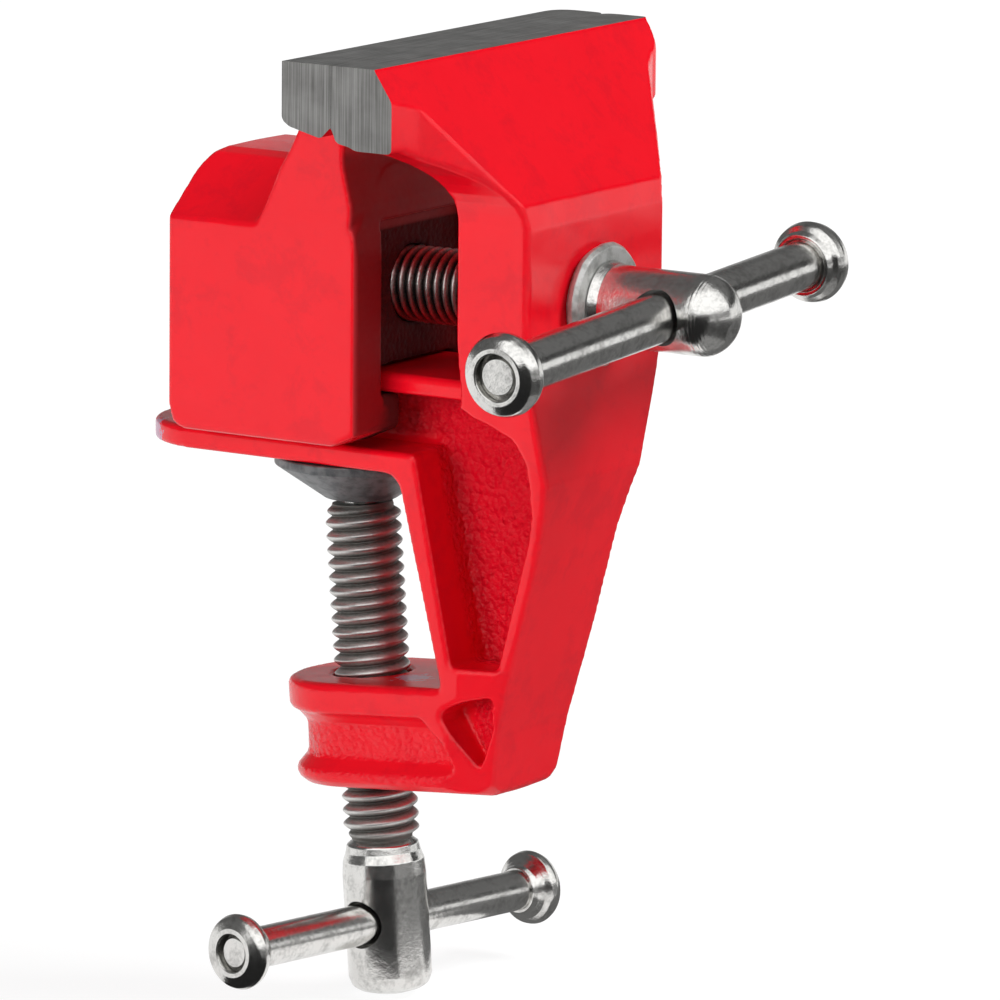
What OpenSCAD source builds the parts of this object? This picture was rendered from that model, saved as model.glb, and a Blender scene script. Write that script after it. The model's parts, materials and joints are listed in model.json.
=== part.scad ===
// Mini bench vise: a cast frame that clamps to a bench edge, a sliding jaw,
// a lead screw and a clamp screw, each turned by a captive sliding bar.
// Origin: where the clamp screw meets the seat that rests on the bench top.
// +X runs along the lead screw towards its handle, +Y across the jaws, +Z up.

/* [Jaws] */
// Length of both jaws across the vise
jaw_w = 50; // [47:1:60]
// Height of the jaw bars' lower edge above the lead screw
jaw_rise = 17.1; // [16:0.1:19]
// Height of the jaw bars from their lower edge to the ground top
jaw_h = 8.2; // [7:0.2:10]
// How far the fixed jaw's face stands ahead of the column
jaw_lap = 6.65; // [6:0.05:8]
// Thickness of the fixed jaw at its top
fixed_top_t = 5; // [4:0.2:6]
// Thickness of the fixed jaw at its end, low down
fixed_base_t = 7.1; // [6.5:0.1:8]
// Thickness of the moving jaw bar
moving_t = 5.8; // [5:0.2:7]
// Size of the rounded lower corner where the two jaws meet
jaw_corner = 1.2; // [0.6:0.1:2]
// Radius of the unground far corners of the jaw bars
far_corner_r = 2.2; // [1:0.1:2.6]
// Gap between the closed jaw faces
closed_gap = 0.04; // [0.02:0.01:0.2]

/* [Seat and throat] */
// Clamp screw axis to the centre of the seat's round end
seat_reach = 15; // [12:0.5:20]
// Width of the seat plate and of the throat wall
seat_w = 17.2; // [16:0.2:20]
// Thickness of the seat plate
seat_t = 2.2; // [1.8:0.1:3]
// Clamp screw axis to the throat wall, at the seat
throat_x = 10; // [9.6:0.2:13]
// Opening of the throat along the clamp screw, from the seat to the arm
throat_h = 22.5; // [20:0.5:27]
// Lean of the throat wall from upright, in degrees
throat_lean = 14.4; // [10:0.2:16]
// Radius of the fillet under the seat plate
throat_r = 2.2; // [1.5:0.1:2.4]
// Thickness of the throat wall at the seat
throat_t = 2.7; // [2.2:0.1:3.2]
// Thickness of the throat wall at the lower arm
throat_low_t = 1.6; // [1.4:0.1:2.6]

/* [Column and web] */
// Throat wall, at the seat, to the inner face of the column
column_set = 9.65; // [9:0.1:12]
// Thickness of the column along the lead screw
column_t = 8.45; // [8:0.1:10]
// Width of the column at the lead screw
column_w = 25.3; // [22:0.3:27]
// Width of the outer flange below the column
flange_w = 14.6; // [12:0.2:16]
// Thickness of the outer flange
flange_t = 1.6; // [1.4:0.1:2.4]
// Lean of the outer flange from upright, in degrees
flange_lean = 14.7; // [13.5:0.1:15.5]
// Thickness of the web between the two flanges
web_t = 3.6; // [3:0.2:5]
// How far the jaw's wings reach out from the column's sides
wing_reach = 10.8; // [8:0.2:11.2]
// Height of the arch under the jaw's wings
wing_h = 8.1; // [6:0.1:9]
// Height of the arch between the column's inner face and the jaw
arch_h = 7; // [5:0.5:8]

/* [Lower arm] */
// Height of the lower arm
arm_h = 11.5; // [10.5:0.1:14]
// Thickness of the arm's upper lip
arm_lip_t = 2.9; // [2:0.1:3.5]
// Width of the arm between its two lips
arm_waist_w = 13.8; // [13:0.2:16]
// Width of the arm's lower lip
arm_foot_w = 16.4; // [15:0.2:17]
// Radius of the outer lower corner
arm_corner_r = 1.1; // [0.6:0.1:2]
// Thickness of the heel between the hollows in its sides
heel_web_t = 9; // [6:0.2:10]

/* [Rail] */
// Height of the stem from the seat plate to the rail
stem_h = 5.8; // [5:0.1:7]
// Thickness of the rail
rail_t = 2; // [1.8:0.1:3]
// Width of the rail
rail_w = 15; // [14:0.2:16]
// How far the rail reaches past the clamp screw axis
rail_reach = 19; // [18:0.5:22]
// Clearance between the rail and the moving jaw
rail_fit = 0.3; // [0.2:0.05:0.5]

/* [Moving jaw] */
// Length of the jaw's block along the rail
block_l = 22.8; // [21:0.2:27]
// Width of the block
block_w = 27; // [25:0.5:30]
// Gap between the block and the seat plate
block_lift = 0.75; // [0.4:0.05:1.2]
// Height of the block's upright sides
block_side_h = 21.7; // [20.6:0.1:23]
// Rise of the sloped roof above the sides
roof_h = 5.8; // [4:0.1:6.5]
// Width of the flat crown of the roof
crown_w = 13.4; // [11:0.2:16]
// Thickness of the block's side walls
block_wall = 5; // [4:0.1:5.6]
// How far the jaw face stands ahead of the block
jaw_lead = 4.7; // [4:0.1:6]
// Depth of the recess in the block's front
recess_d = 1.9; // [1:0.1:2.5]
// Length of the threaded wall
nut_l = 8; // [6:0.2:9]
// Thickness of the rear wall
rear_t = 4.5; // [3:0.1:6]
// Opening between the lips that hold the block on the rail
lip_gap = 10.4; // [8:0.2:12]
// Length of the neck at the block's roof
neck_l = 12.6; // [11:0.2:14]
// Thickness of the neck under the jaw bar
neck_t = 6.5; // [5:0.1:7]

/* [Screws] */
// Outside diameter of both threads
thread_d = 7.8; // [7:0.1:8]
// Root diameter of the lead screw's thread
lead_root_d = 6.5; // [6.2:0.1:6.7]
// Root diameter of the clamp screw's thread
clamp_root_d = 6.2; // [5.6:0.1:6.4]
// Advance for one turn of the lead screw
lead_pitch = 1.058; // [1:0.001:1.4]
// Advance for one turn of the clamp screw
clamp_pitch = 1.411; // [1.2:0.001:1.6]
// Radial clearance of the threads in their holes
thread_fit = 0.1; // [0.06:0.01:0.15]
// Height of the lead screw axis above the rail
screw_rise = 8; // [7.8:0.1:9.5]
// Diameter of the lead screw's plain shank
shank_d = 7.86; // [7.8:0.02:8.2]
// Radial clearance of the shank in the column
shank_fit = 0.07; // [0.03:0.01:0.1]
// Lead screw tip beyond the back of the closed block
tip_out = 3; // [1:0.5:5]
// Diameter of the lead screw's plain end
lead_boss_d = 8.2; // [8:0.1:9.4]
// Length of the lead screw's plain end outside its washer
lead_boss_l = 14.7; // [14:0.1:18]
// Lead screw washer face to the middle of its cross hole
lead_hole = 7.6; // [5:0.1:8]
// Diameter of the collar on the lead screw's plain end
collar_d = 9.6; // [9.4:0.1:11]
// Thickness of that collar
collar_t = 0.5; // [0.4:0.1:1]
// Length of the clamp screw's thread below its neck
clamp_thread_l = 34.7; // [33:0.1:40]
// Diameter of the clamp screw's plain end
clamp_boss_d = 8.6; // [8.2:0.1:10]
// Length of the clamp screw's plain end
clamp_boss_l = 16; // [14:0.2:20]
// Start of the clamp screw's plain end to its cross hole
clamp_hole_z = 8.5; // [7:0.1:10]
// Lean of the clamp screw from upright, in degrees
clamp_lean = 4.5; // [3:0.1:5]

/* [Washers and clip] */
// Diameter of the outer washer
outer_washer_d = 12.6; // [11:0.1:14]
// Thickness of the outer washer
outer_washer_t = 1.5; // [1:0.1:2]
// Diameter of the inner washer
inner_washer_d = 12.4; // [11:0.1:14]
// Thickness of the inner washer
inner_washer_t = 1; // [0.8:0.1:1.4]
// Outside diameter of the retaining clip
clip_d = 11.4; // [10.6:0.1:12.4]
// Thickness of the retaining clip
clip_t = 0.8; // [0.6:0.05:1.1]
// Diameter of the clip's groove
groove_d = 5.9; // [5.4:0.1:6.2]
// Play of the washers and the clip along the screw
stack_play = 0.05; // [0.03:0.01:0.1]

/* [Bars] */
// Diameter of the lead screw's bar
lead_bar_d = 5; // [4.4:0.1:5.4]
// Middle to middle of the lead bar's caps
lead_bar_l = 56.6; // [50:0.2:66]
// How far the lead bar stands out of centre at rest, towards its far end
lead_bar_shift = -2.5; // [-6:0.1:6]
// Tilt of the lead bar from level at rest, in degrees
lead_bar_tilt = 3.8; // [0:0.1:20]
// Diameter of the lead bar's caps
lead_cap_d = 8.4; // [7.8:0.1:10]
// Thickness of the lead bar's caps
lead_cap_t = 3.7; // [3.5:0.1:5]
// Diameter of the clamp screw's bar
clamp_bar_d = 4.2; // [3.8:0.1:4.8]
// Middle to middle of the clamp bar's caps
clamp_bar_l = 44; // [38:0.2:52]
// Turn of the clamp bar from square across at rest, in degrees
clamp_bar_turn = 8.5; // [0:0.5:20]
// Slope of the clamp bar's cross hole, down to its far end, in degrees
clamp_bar_dip = 1.5; // [0:0.1:3]
// Diameter of the clamp bar's caps
clamp_cap_d = 7.8; // [7:0.1:9]
// Thickness of the clamp bar's caps, without their hubs
clamp_cap_t = 2.6; // [2.4:0.1:4]
// Depth of the cap's open end in front of the bar
cap_recess = 0.5; // [0.4:0.1:1.4]
// Radial clearance of the bars in their cross holes
bar_fit = 0.35; // [0.1:0.05:0.5]

/* [Swivel pad] */
// Diameter of the pad
pad_d = 17.6; // [16:0.1:18]
// Height of the pad
pad_h = 4.4; // [4:0.05:5]
// Gap between the raised pad and the seat
pad_gap = 0.15; // [0.1:0.01:0.4]
// Diameter of the pad's foot
pad_foot_d = 7.4; // [7:0.1:8.4]
// Height of the pad's rim
pad_rim_h = 0.9; // [0.6:0.1:1.4]
// Depth of the hollow in the pad's face
pad_hollow = 1.6; // [1.4:0.05:1.8]
// Diameter of the clamp screw's neck in the pad
neck_d = 4; // [3.6:0.1:4.2]
// Diameter of the riveted head on that neck
rivet_d = 6; // [5.6:0.1:6.6]

/* [Hidden] */
$fn = 64;
tiny = 0.01;
rail_z = seat_t + stem_h;
rail_top = rail_z + rail_t;
screw_z = rail_top + screw_rise;
jaw_z = screw_z + jaw_rise;
jaw_top = jaw_z + jaw_h;
column_in = throat_x + column_set;
column_x = column_in + column_t;
jaw_face = column_in - jaw_lap;
crease_z = jaw_z - 5.9;
crease_x = column_x - 0.5;
throat_run = tan(throat_lean);
flange_run = tan(flange_lean);
knee_z = 0.6;
moving_face = jaw_face - closed_gap;
block_x = moving_face - jaw_lead;
block_end = block_x - block_l;
block_z = seat_t + block_lift;
side_top = block_z + block_side_h;
crown_z = side_top + roof_h;
arm_top = -throat_h;
arm_z = -throat_h - arm_h;
heel_top = arm_top + 3.5;
nut_x = block_x - recess_d;
pivot_drop = 0.65;
pivot_z = -pad_gap - pad_hollow - pivot_drop;
tip_x = block_end - tip_out;
collar_x = column_x + outer_washer_t + 2 * stack_play;
boss_x = collar_x + lead_boss_l;
lead_hole_x = collar_x + lead_hole;
clamp_shoulder = 2.7;
clamp_boss = clamp_shoulder + clamp_thread_l + 1.7;
clamp_hole = clamp_boss - 1.7 + clamp_hole_z;

// Smooth step from 0 to 1
function ease(u) = u * u * (3 - 2 * u);

// Throat wall's face, and outer flange's face, at height z
function throat_at(z) = throat_x - z * throat_run;
function flange_at(z) = column_x - max(0, knee_z - z) * flange_run;

// Underside of the leaned arm at distance x
function sole_at(x) = pivot_z + x * tan(clamp_lean) - (pivot_z - arm_z) / cos(clamp_lean);

// A side profile, drawn in X and Z, made w wide across the vise
module side(w) {
    rotate([90, 0, 0])
        linear_extrude(w, center = true)
            children();
}

// A front profile, drawn in Y and Z, made from x0 to x1
module front(x0, x1) {
    translate([x0, 0, 0])
        rotate([90, 0, 90])
            linear_extrude(x1 - x0)
                children();
}

// Both halves of a profile that is drawn on the right only
module both() {
    children();
    mirror([1, 0])
        children();
}

// Places children on the lead screw, with +Z along the screw
module on_lead() {
    translate([0, 0, screw_z])
        rotate([0, 90, 0])
            children();
}

// Leans children with the clamp screw, about the pad's pivot
module leaned() {
    translate([0, 0, pivot_z])
        rotate([0, -clamp_lean, 0])
            translate([0, 0, -pivot_z])
                children();
}

// Places children on the clamp screw, with +Z down the screw from the pad's pivot
module on_clamp() {
    translate([0, 0, pivot_z])
        rotate([0, 180 - clamp_lean, 0])
            children();
}

// Places children on the lead screw's cross hole, with +Z along the bar to its far end
module on_lead_bar() {
    translate([lead_hole_x, 0, screw_z])
        rotate([lead_bar_tilt - 90, 0, 0])
            translate([0, 0, lead_bar_shift])
                children();
}

// Places children on the clamp screw's cross hole, with +Z along the bar to its far end
module on_clamp_bar() {
    on_clamp()
        translate([0, 0, clamp_hole])
            rotate([0, 0, clamp_bar_turn])
                rotate([clamp_bar_dip - 90, 0, 0])
                    children();
}

// Thread ridge from z0 to z1 that climbs pitch in a turn, on a core of diameter root,
// with both ends run out into the core
module ridge(z0, z1, pitch, root) {
    seg = 18;
    turns = (z1 - z0) / pitch - 1;
    n = floor(turns * seg);
    inner = root / 2 - 0.2;
    outer = thread_d / 2;
    foot = 0.49 * pitch;
    crest = 0.14 * pitch;
    function rise(i) = min(1, i / seg * 1.6, (n - i) / seg * 1.6);
    function ring(i) =
        let (a = 360 * i / seg, z = z0 + pitch / 2 + pitch * i / seg)
        let (r = inner + 0.1 + (outer - inner - 0.1) * rise(i))
        let (c = cos(a), s = sin(a))
        [[inner * c, inner * s, z - foot], [r * c, r * s, z - crest],
            [r * c, r * s, z + crest], [inner * c, inner * s, z + foot]];
    points = [for (i = [0 : n]) each ring(i)];
    walls = [for (i = [0 : n - 1], k = [0 : 3])
        let (a = 4 * i + k, b = 4 * i + (k + 1) % 4)
        each [[a, b, b + 4], [a, b + 4, a + 4]]];
    ends = [[3, 2, 1], [3, 1, 0], [4 * n, 4 * n + 1, 4 * n + 2], [4 * n, 4 * n + 2, 4 * n + 3]];
    polyhedron(points, concat(walls, ends));
}

// Cross hole for a bar, drawn on the bar's own axis
module bar_hole(d, boss_d) {
    translate([0, 0, -2 * boss_d])
        cylinder(h = 4 * boss_d, d = d + 2 * bar_fit);
}

// Ring pressed on a bar's end, open in front of the bar, with rims of radius r
// and a tapered hub of the given length behind it
module cap(d, bar_d, l, t, r, hub) {
    back = l / 2 - t / 2;
    rotate_extrude()
        union() {
            difference() {
                translate([bar_d / 2, back])
                    square([d / 2 - bar_d / 2, t]);
                for (k = [0, 1])
                    translate([d / 2 - r, back + (k == 1 ? t - r : r)])
                        difference() {
                            translate([0, k == 1 ? 0 : -r - tiny])
                                square([r + tiny, r + tiny]);
                            circle(r);
                        }
            }
            polygon([[bar_d / 2, back + r / 2], [bar_d / 2, back - hub], [bar_d / 2 + 0.3, back - hub],
                [bar_d / 2 + 0.3 + hub / 2, back], [bar_d / 2 + 0.3 + hub / 2, back + r / 2]]);
        }
}

// Round bar that ends inside its caps
module bar(d, l, t) {
    end = l / 2 + t / 2 - cap_recess;
    translate([0, 0, -end])
        cylinder(h = 2 * end, d = d);
}

// Column, fixed jaw and outer flange as seen from the side
module column_side() {
    arch_x = column_in - jaw_face - jaw_corner / 2;
    arch_z = jaw_z - arch_h;
    low = heel_top - 2;
    polygon(concat(
        [[jaw_face, jaw_top], [jaw_face + fixed_top_t, jaw_top]],
        [[crease_x, crease_z], [column_x, crease_z - 2.4], [column_x, knee_z]],
        [[flange_at(low), low], [flange_at(low) - flange_t, low]],
        [[flange_at(-3) - flange_t, -3], [column_x - flange_t - 0.5, knee_z + 2]],
        [[column_x - 3.2, knee_z + 4.6], [column_x - 6, rail_z - 1.4]],
        [[column_in + 1.4, rail_z - 1.1], [column_in - 0.5, rail_z], [column_in, rail_top]],
        [for (a = [0 : 15 : 90])
            [column_in - arch_x * (1 - cos(a)), arch_z + (arch_h + jaw_corner / 2) * sin(a)]],
        [[jaw_face, jaw_z + jaw_corner * 1.8]]));
}

// Right half of the column, fixed jaw and outer flange as seen from the front
module column_front_half() {
    foot_z = -8;
    top_z = rail_top + 5.9;
    half = column_w / 2;
    bend_z = jaw_z - 0.47 * wing_h;
    polygon(concat(
        [[-tiny, jaw_top], [jaw_w / 2, jaw_top], [jaw_w / 2, jaw_z]],
        [for (i = [0 : 8])
            let (u = i / 8, v = 1 - u)
            [half + wing_reach * v * v, v * v * jaw_z + 2 * u * v * bend_z + u * u * (jaw_z - wing_h)]],
        [for (i = [8 : -1 : 0])
            [flange_w / 2 + (column_w - flange_w) / 2 * ease(i / 8), foot_z + (top_z - foot_z) * i / 8]],
        [[flange_w / 2, arm_top - 1], [-tiny, arm_top - 1]]));
}

// Plan of the column and the fixed jaw
module column_plan() {
    end_x = jaw_face + fixed_base_t;
    far = jaw_w / 2;
    r = far_corner_r;
    polygon(concat(
        [[jaw_face, -far], [end_x, -far], [end_x + 0.7, -far + 4]],
        [[crease_x + 0.1, -column_w / 2 - 0.2], [column_x + tiny, -column_w / 2 + 0.3]],
        [[column_x + tiny, column_w / 2 - 0.3], [crease_x + 0.1, column_w / 2 + 0.2]],
        [[end_x + 0.7, far - 4]],
        [for (a = [0 : 15 : 90]) [end_x - r + r * cos(a), far - r + r * sin(a)]],
        [for (a = [90 : 30 : 180]) [jaw_face + r / 2 + r / 2 * cos(a), far - r / 2 + r / 2 * sin(a)]]));
}

// Column and fixed jaw, bounded by their side, front and plan
module column() {
    intersection() {
        side(jaw_w + 2)
            column_side();
        front(jaw_face - 1, column_x + 1)
            both()
                column_front_half();
        translate([0, 0, arm_top - 1])
            linear_extrude(jaw_top - arm_top + 2)
                column_plan();
    }
}

// Seat plate with its round end
module seat() {
    linear_extrude(seat_t)
        union() {
            translate([-seat_reach, 0])
                circle(d = seat_w);
            translate([-seat_reach, -seat_w / 2])
                square([seat_reach + throat_x, seat_w]);
        }
}

// Throat wall with the fillet that joins it to the seat plate
module throat_wall() {
    t = throat_r / tan(45 + throat_lean / 2);
    low = arm_top;
    side(seat_w)
        union() {
            polygon([[throat_at(0), tiny], [throat_x, seat_t], [throat_at(seat_t) + throat_t, seat_t],
                [throat_at(low) + throat_low_t, low], [throat_at(low), low]]);
            difference() {
                polygon([[throat_x - t, 0.5], [throat_x + 0.5, 0.5],
                    [throat_x + t * sin(throat_lean) + 0.5, -t * cos(throat_lean)],
                    [throat_x + t * sin(throat_lean), -t * cos(throat_lean)],
                    [throat_x - t, -throat_r], [throat_x - t, 0]]);
                translate([throat_x - t, -throat_r])
                    circle(throat_r);
            }
        }
}

// Web between the flanges, with the stem that carries the rail
module web() {
    low = heel_top - 1;
    side(web_t)
        polygon([[-rail_reach + 1, tiny], [-rail_reach + 1, rail_z + tiny], [column_in + 2, rail_z + tiny],
            [column_x - 1, knee_z + 1], [flange_at(low) - 1, low], [throat_at(low) + 1, low],
            [throat_x + 1, tiny]]);
}

// Rail that the moving jaw rides on
module rail() {
    r = 2;
    translate([0, 0, rail_z])
        linear_extrude(rail_t)
            union() {
                translate([-rail_reach + r, -rail_w / 2])
                    square([rail_reach + column_in - r + 1, rail_w]);
                translate([-rail_reach, -rail_w / 2 + r])
                    square([r + 1, rail_w - 2 * r]);
                for (y = [-1, 1])
                    translate([-rail_reach + r, y * (rail_w / 2 - r)])
                        circle(r);
            }
}

// Right half of the lower arm's section, drawn from its middle out
module arm_half() {
    lip = seat_w / 2;
    waist = arm_waist_w / 2;
    foot = arm_foot_w / 2;
    polygon([[0, arm_top], [lip - 0.4, arm_top], [lip, arm_top - 0.5], [lip, arm_top - arm_lip_t],
        [lip - 0.8, arm_top - arm_lip_t - 0.5], [waist, arm_top - arm_lip_t - 1.6],
        [waist, arm_z + 3.7], [foot, arm_z + 2.3], [foot, arm_z + 1.5], [foot - 0.9, arm_z + 0.7],
        [foot - 3.5, arm_z + 0.15], [0, arm_z]]);
}

// Plan that narrows from the arm to the outer flange
module heel_plan() {
    near = seat_w / 2;
    far = flange_w / 2 + 0.25;
    start = throat_at(arm_top) + throat_low_t + 0.15;
    stop = flange_at(arm_top) - 0.4;
    polygon([[-seat_w, near], [start, near], [stop, far], [column_x, far],
        [column_x, -far], [stop, -far], [start, -near], [-seat_w, -near]]);
}

// Lower arm, square to the clamp screw: a round boss and a straight part through the heel
module arm() {
    intersection() {
        leaned()
            union() {
                rotate_extrude($fn = 96)
                    arm_half();
                front(0, throat_at(arm_top) + 6)
                    both()
                        arm_half();
            }
        translate([0, 0, arm_z - 2])
            linear_extrude(heel_top - arm_z + 4)
                heel_plan();
    }
}

// Heel as seen from the side, where the arm, the throat wall and the outer flange meet
module heel_side() {
    inner = throat_at(arm_top);
    polygon([[throat_at(heel_top) + 0.3, heel_top], [column_x, heel_top], [column_x, arm_z + 3.1],
        [inner + 1.3, arm_z + 3.1], [inner + 0.9, arm_z + 4.3], [inner, arm_z + 6.9],
        [inner - 1.7, arm_z + 8.3], [inner - 3, arm_top - 2], [inner - 0.3, arm_top - 1]]);
}

// Heel, narrowed towards the outer flange
module heel() {
    intersection() {
        side(seat_w)
            heel_side();
        translate([0, 0, arm_z - 1])
            linear_extrude(heel_top - arm_z + 2)
                heel_plan();
    }
}

// Outline of the lower arm and heel from the side, round at the outer lower corner
module foot_outline() {
    r = arm_corner_r;
    out = flange_at(arm_z + 3.1) + 0.45;
    base = sole_at(out - r);
    polygon(concat(
        [[-seat_w, heel_top + 0.5], [flange_at(heel_top + 0.5) - 0.4, heel_top + 0.5]],
        [[flange_at(heel_top - 1.9), heel_top - 1.9], [flange_at(arm_top - 3.5), arm_top - 3.5]],
        [for (a = [0 : 15 : 75]) [out - r + r * cos(a), base + r - r * sin(a)]],
        [[out - r - 0.6, base - 0.25], [out - r - 0.6, base - 3], [-seat_w, base - 3]]));
}

// Triangular hollow in the heel's side
module heel_pocket_side() {
    inner = throat_at(arm_top);
    polygon([[inner - 0.4, arm_top - 1.6], [inner + 0.5, arm_top - 0.7], [inner + 2.2, arm_top + 0.1],
        [flange_at(arm_top) - 1.2, arm_top + 0.7], [flange_at(arm_top - 2.7) - 0.8, arm_top - 2.7],
        [flange_at(arm_top - 6.4) - 1, arm_top - 6.4], [flange_at(arm_top - 6.6) - 1.4, arm_top - 6.6]]);
}

// Lower arm and heel with the hollows in the heel's sides
module foot() {
    difference() {
        intersection() {
            side(seat_w + 2)
                foot_outline();
            union() {
                arm();
                heel();
            }
        }
        for (y = [-1, 1])
            translate([0, y * (heel_web_t + seat_w) / 2, 0])
                side(seat_w)
                    heel_pocket_side();
    }
}

// Cutters that narrow the heel and the flange's end towards the outer lower corner
module heel_cuts() {
    for (k = [0, 1])
        mirror([0, k, 0])
            translate([flange_at(arm_z + 3.1) + 0.45, -flange_w / 2 + 1.25, arm_z + 3]) {
                rotate([0, 0, 23.7])
                    rotate([9.5, 0, 0])
                        translate([-12, -6, -8])
                            cube([24, 6, 26]);
                rotate([0, 0, 50])
                    rotate([-50, 0, 0])
                        translate([-12, -4, -8])
                            cube([24, 16, 8]);
            }
}

// Frame: one casting with the seat, throat, lower arm, rail, column and fixed jaw
module frame() {
    color("#e8142a")
        difference() {
            union() {
                seat();
                throat_wall();
                web();
                rail();
                column();
                foot();
            }
            heel_cuts();
            on_lead()
                translate([0, 0, column_in - 4])
                    cylinder(h = column_t + 8, d = shank_d + 2 * shank_fit);
            on_clamp()
                translate([0, 0, throat_h - 6])
                    cylinder(h = arm_h + 12, d = thread_d + 2 * thread_fit);
        }
}

// Neck and jaw bar of the moving jaw as seen from the side
module moving_neck_side() {
    foot_x = block_x - neck_l;
    top_x = block_x - 1.6 - neck_t;
    polygon([[foot_x, side_top - 4], [foot_x, side_top - 0.5], [foot_x + 1.45, side_top + 2],
        [foot_x + 3.2, side_top + 5.8], [top_x, side_top + 8], [top_x + 1.2, jaw_z],
        [top_x + 3.6, jaw_z + 2.8], [moving_face - moving_t, jaw_z + 4.4], [moving_face - 1, jaw_z + 4.4],
        [moving_face - 1, jaw_z + 1], [moving_face - moving_t + 2, jaw_z + 1.2],
        [block_x - 1.6, jaw_z - 1.6], [block_x - 1.5, jaw_z - 3.8], [block_x - 0.5, jaw_z - 8],
        [block_x - 1.2, side_top - 4]]);
}

// End profile of the moving jaw bar
module moving_bar_side() {
    back = moving_face - moving_t;
    polygon([[back, jaw_top], [back, jaw_z + 2.4], [back + 0.9, jaw_z + 1.8],
        [moving_face - jaw_corner, jaw_z + 0.9], [moving_face, jaw_z + jaw_corner + 0.9],
        [moving_face, jaw_top]]);
}

// Plan of the moving jaw bar, round at its unground far corner
module moving_bar_plan() {
    back = moving_face - moving_t;
    far = jaw_w / 2;
    r = far_corner_r;
    polygon(concat(
        [[back, -far], [moving_face, -far]],
        [for (a = [0 : 30 : 90]) [moving_face - r / 2 + r / 2 * cos(a), far - r / 2 + r / 2 * sin(a)]],
        [for (a = [90 : 15 : 180]) [back + r + r * cos(a), far - r + r * sin(a)]]));
}

// Right half of the moving jaw's block as seen from its end
module block_half() {
    half = block_w / 2;
    polygon([[0, block_z], [half - 0.4, block_z], [half, block_z + 0.4], [half, side_top],
        [crown_w / 2, crown_z], [crown_w / 2 - 1.6, crown_z + 0.4], [0, crown_z + 0.5]]);
}

// Block of the moving jaw as seen from its side
module block_side() {
    polygon([[block_end, block_z + 2.3], [block_end + 0.5, block_z + 0.7], [block_end + 1.6, block_z],
        [block_x - 3, block_z], [block_x, block_z + 1.4], [block_x, side_top - 2], [block_x - 0.4, side_top + 1.5],
        [block_x - 1.4, crown_z + 1], [block_end + 2, crown_z + 1], [block_end + 0.6, crown_z - 0.3],
        [block_end, crown_z - 1.6]]);
}

// Recess in the front of the moving jaw
module front_recess() {
    inside = block_w / 2 - block_wall;
    translate([nut_x, -inside, rail_z - rail_fit])
        cube([recess_d + 2, 2 * inside, side_top + 0.8 - rail_z + rail_fit]);
}

// Hollows of the moving jaw's block: rail slot and inside
module block_hollow() {
    long = block_l + 2;
    slot = rail_w / 2 + rail_fit;
    inside = block_w / 2 - block_wall;
    hollow_x = block_end + rear_t;
    hollow_l = nut_x - nut_l - hollow_x;
    translate([block_end - 1, -lip_gap / 2, block_z - 1])
        cube([long, lip_gap, rail_z]);
    translate([block_end - 1, -slot, rail_z - rail_fit])
        cube([long, 2 * slot, rail_t + 2 * rail_fit]);
    translate([hollow_x, -inside, rail_z - rail_fit])
        cube([hollow_l, 2 * inside, side_top - rail_z]);
}

// Moving jaw: one casting with the block, neck and jaw bar
module moving_jaw() {
    color("#e8142a")
        difference() {
            union() {
                difference() {
                    intersection() {
                        side(block_w + 2)
                            block_side();
                        front(block_end - 1, block_x + 1)
                            both()
                                block_half();
                    }
                    block_hollow();
                }
                side(block_w)
                    moving_neck_side();
                intersection() {
                    side(jaw_w + 2)
                        moving_bar_side();
                    linear_extrude(jaw_top + 1)
                        moving_bar_plan();
                }
            }
            front_recess();
            on_lead()
                translate([0, 0, block_end - 1])
                    cylinder(h = block_l + 4, d = thread_d + 2 * thread_fit);
            on_lead()
                translate([0, 0, block_end - 1])
                    cylinder(h = rear_t + 2, d = thread_d + 1.4);
        }
}

// Lead screw: thread, plain shank with the clip's groove, collar and plain end
module lead_screw() {
    groove_end = column_in - 2 * stack_play - inner_washer_t;
    groove = groove_end - clip_t - stack_play;
    thread_end = groove - 1.6;
    dome = 3.6;
    boss = lead_boss_d / 2;
    color("#a9acb0")
        difference() {
            union() {
                on_lead()
                    translate([0, 0, tip_x])
                        cylinder(h = thread_end - tip_x + 0.5, d = lead_root_d);
                on_lead()
                    ridge(tip_x, thread_end, lead_pitch, lead_root_d);
                on_lead()
                    rotate_extrude()
                        polygon(concat(
                            [[0, thread_end - 0.1], [lead_root_d / 2, thread_end - 0.1]],
                            [[shank_d / 2, thread_end + 0.7], [shank_d / 2, groove], [groove_d / 2, groove]],
                            [[groove_d / 2, groove_end], [shank_d / 2, groove_end], [shank_d / 2, collar_x]],
                            [[collar_d / 2, collar_x], [collar_d / 2, collar_x + collar_t]],
                            [[boss, collar_x + collar_t]],
                            [for (a = [0 : 12 : 72])
                                [(boss - 0.1) * cos(a), boss_x - dome + dome / sin(72) * sin(a)]],
                            [[0, boss_x]]));
            }
            on_lead_bar()
                bar_hole(lead_bar_d, lead_boss_d);
        }
}

// Outer washer, under the lead screw's collar
module outer_washer() {
    color("#b4b6b8")
        on_lead()
            translate([0, 0, column_x + stack_play])
                difference() {
                    cylinder(h = outer_washer_t, d = outer_washer_d);
                    translate([0, 0, -1])
                        cylinder(h = outer_washer_t + 2, d = shank_d + 2 * shank_fit);
                }
}

// Inner washer, between the column and the clip
module inner_washer() {
    color("#b4b6b8")
        on_lead()
            translate([0, 0, column_in - stack_play - inner_washer_t])
                difference() {
                    cylinder(h = inner_washer_t, d = inner_washer_d);
                    translate([0, 0, -1])
                        cylinder(h = inner_washer_t + 2, d = shank_d + 2 * shank_fit);
                }
}

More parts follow.
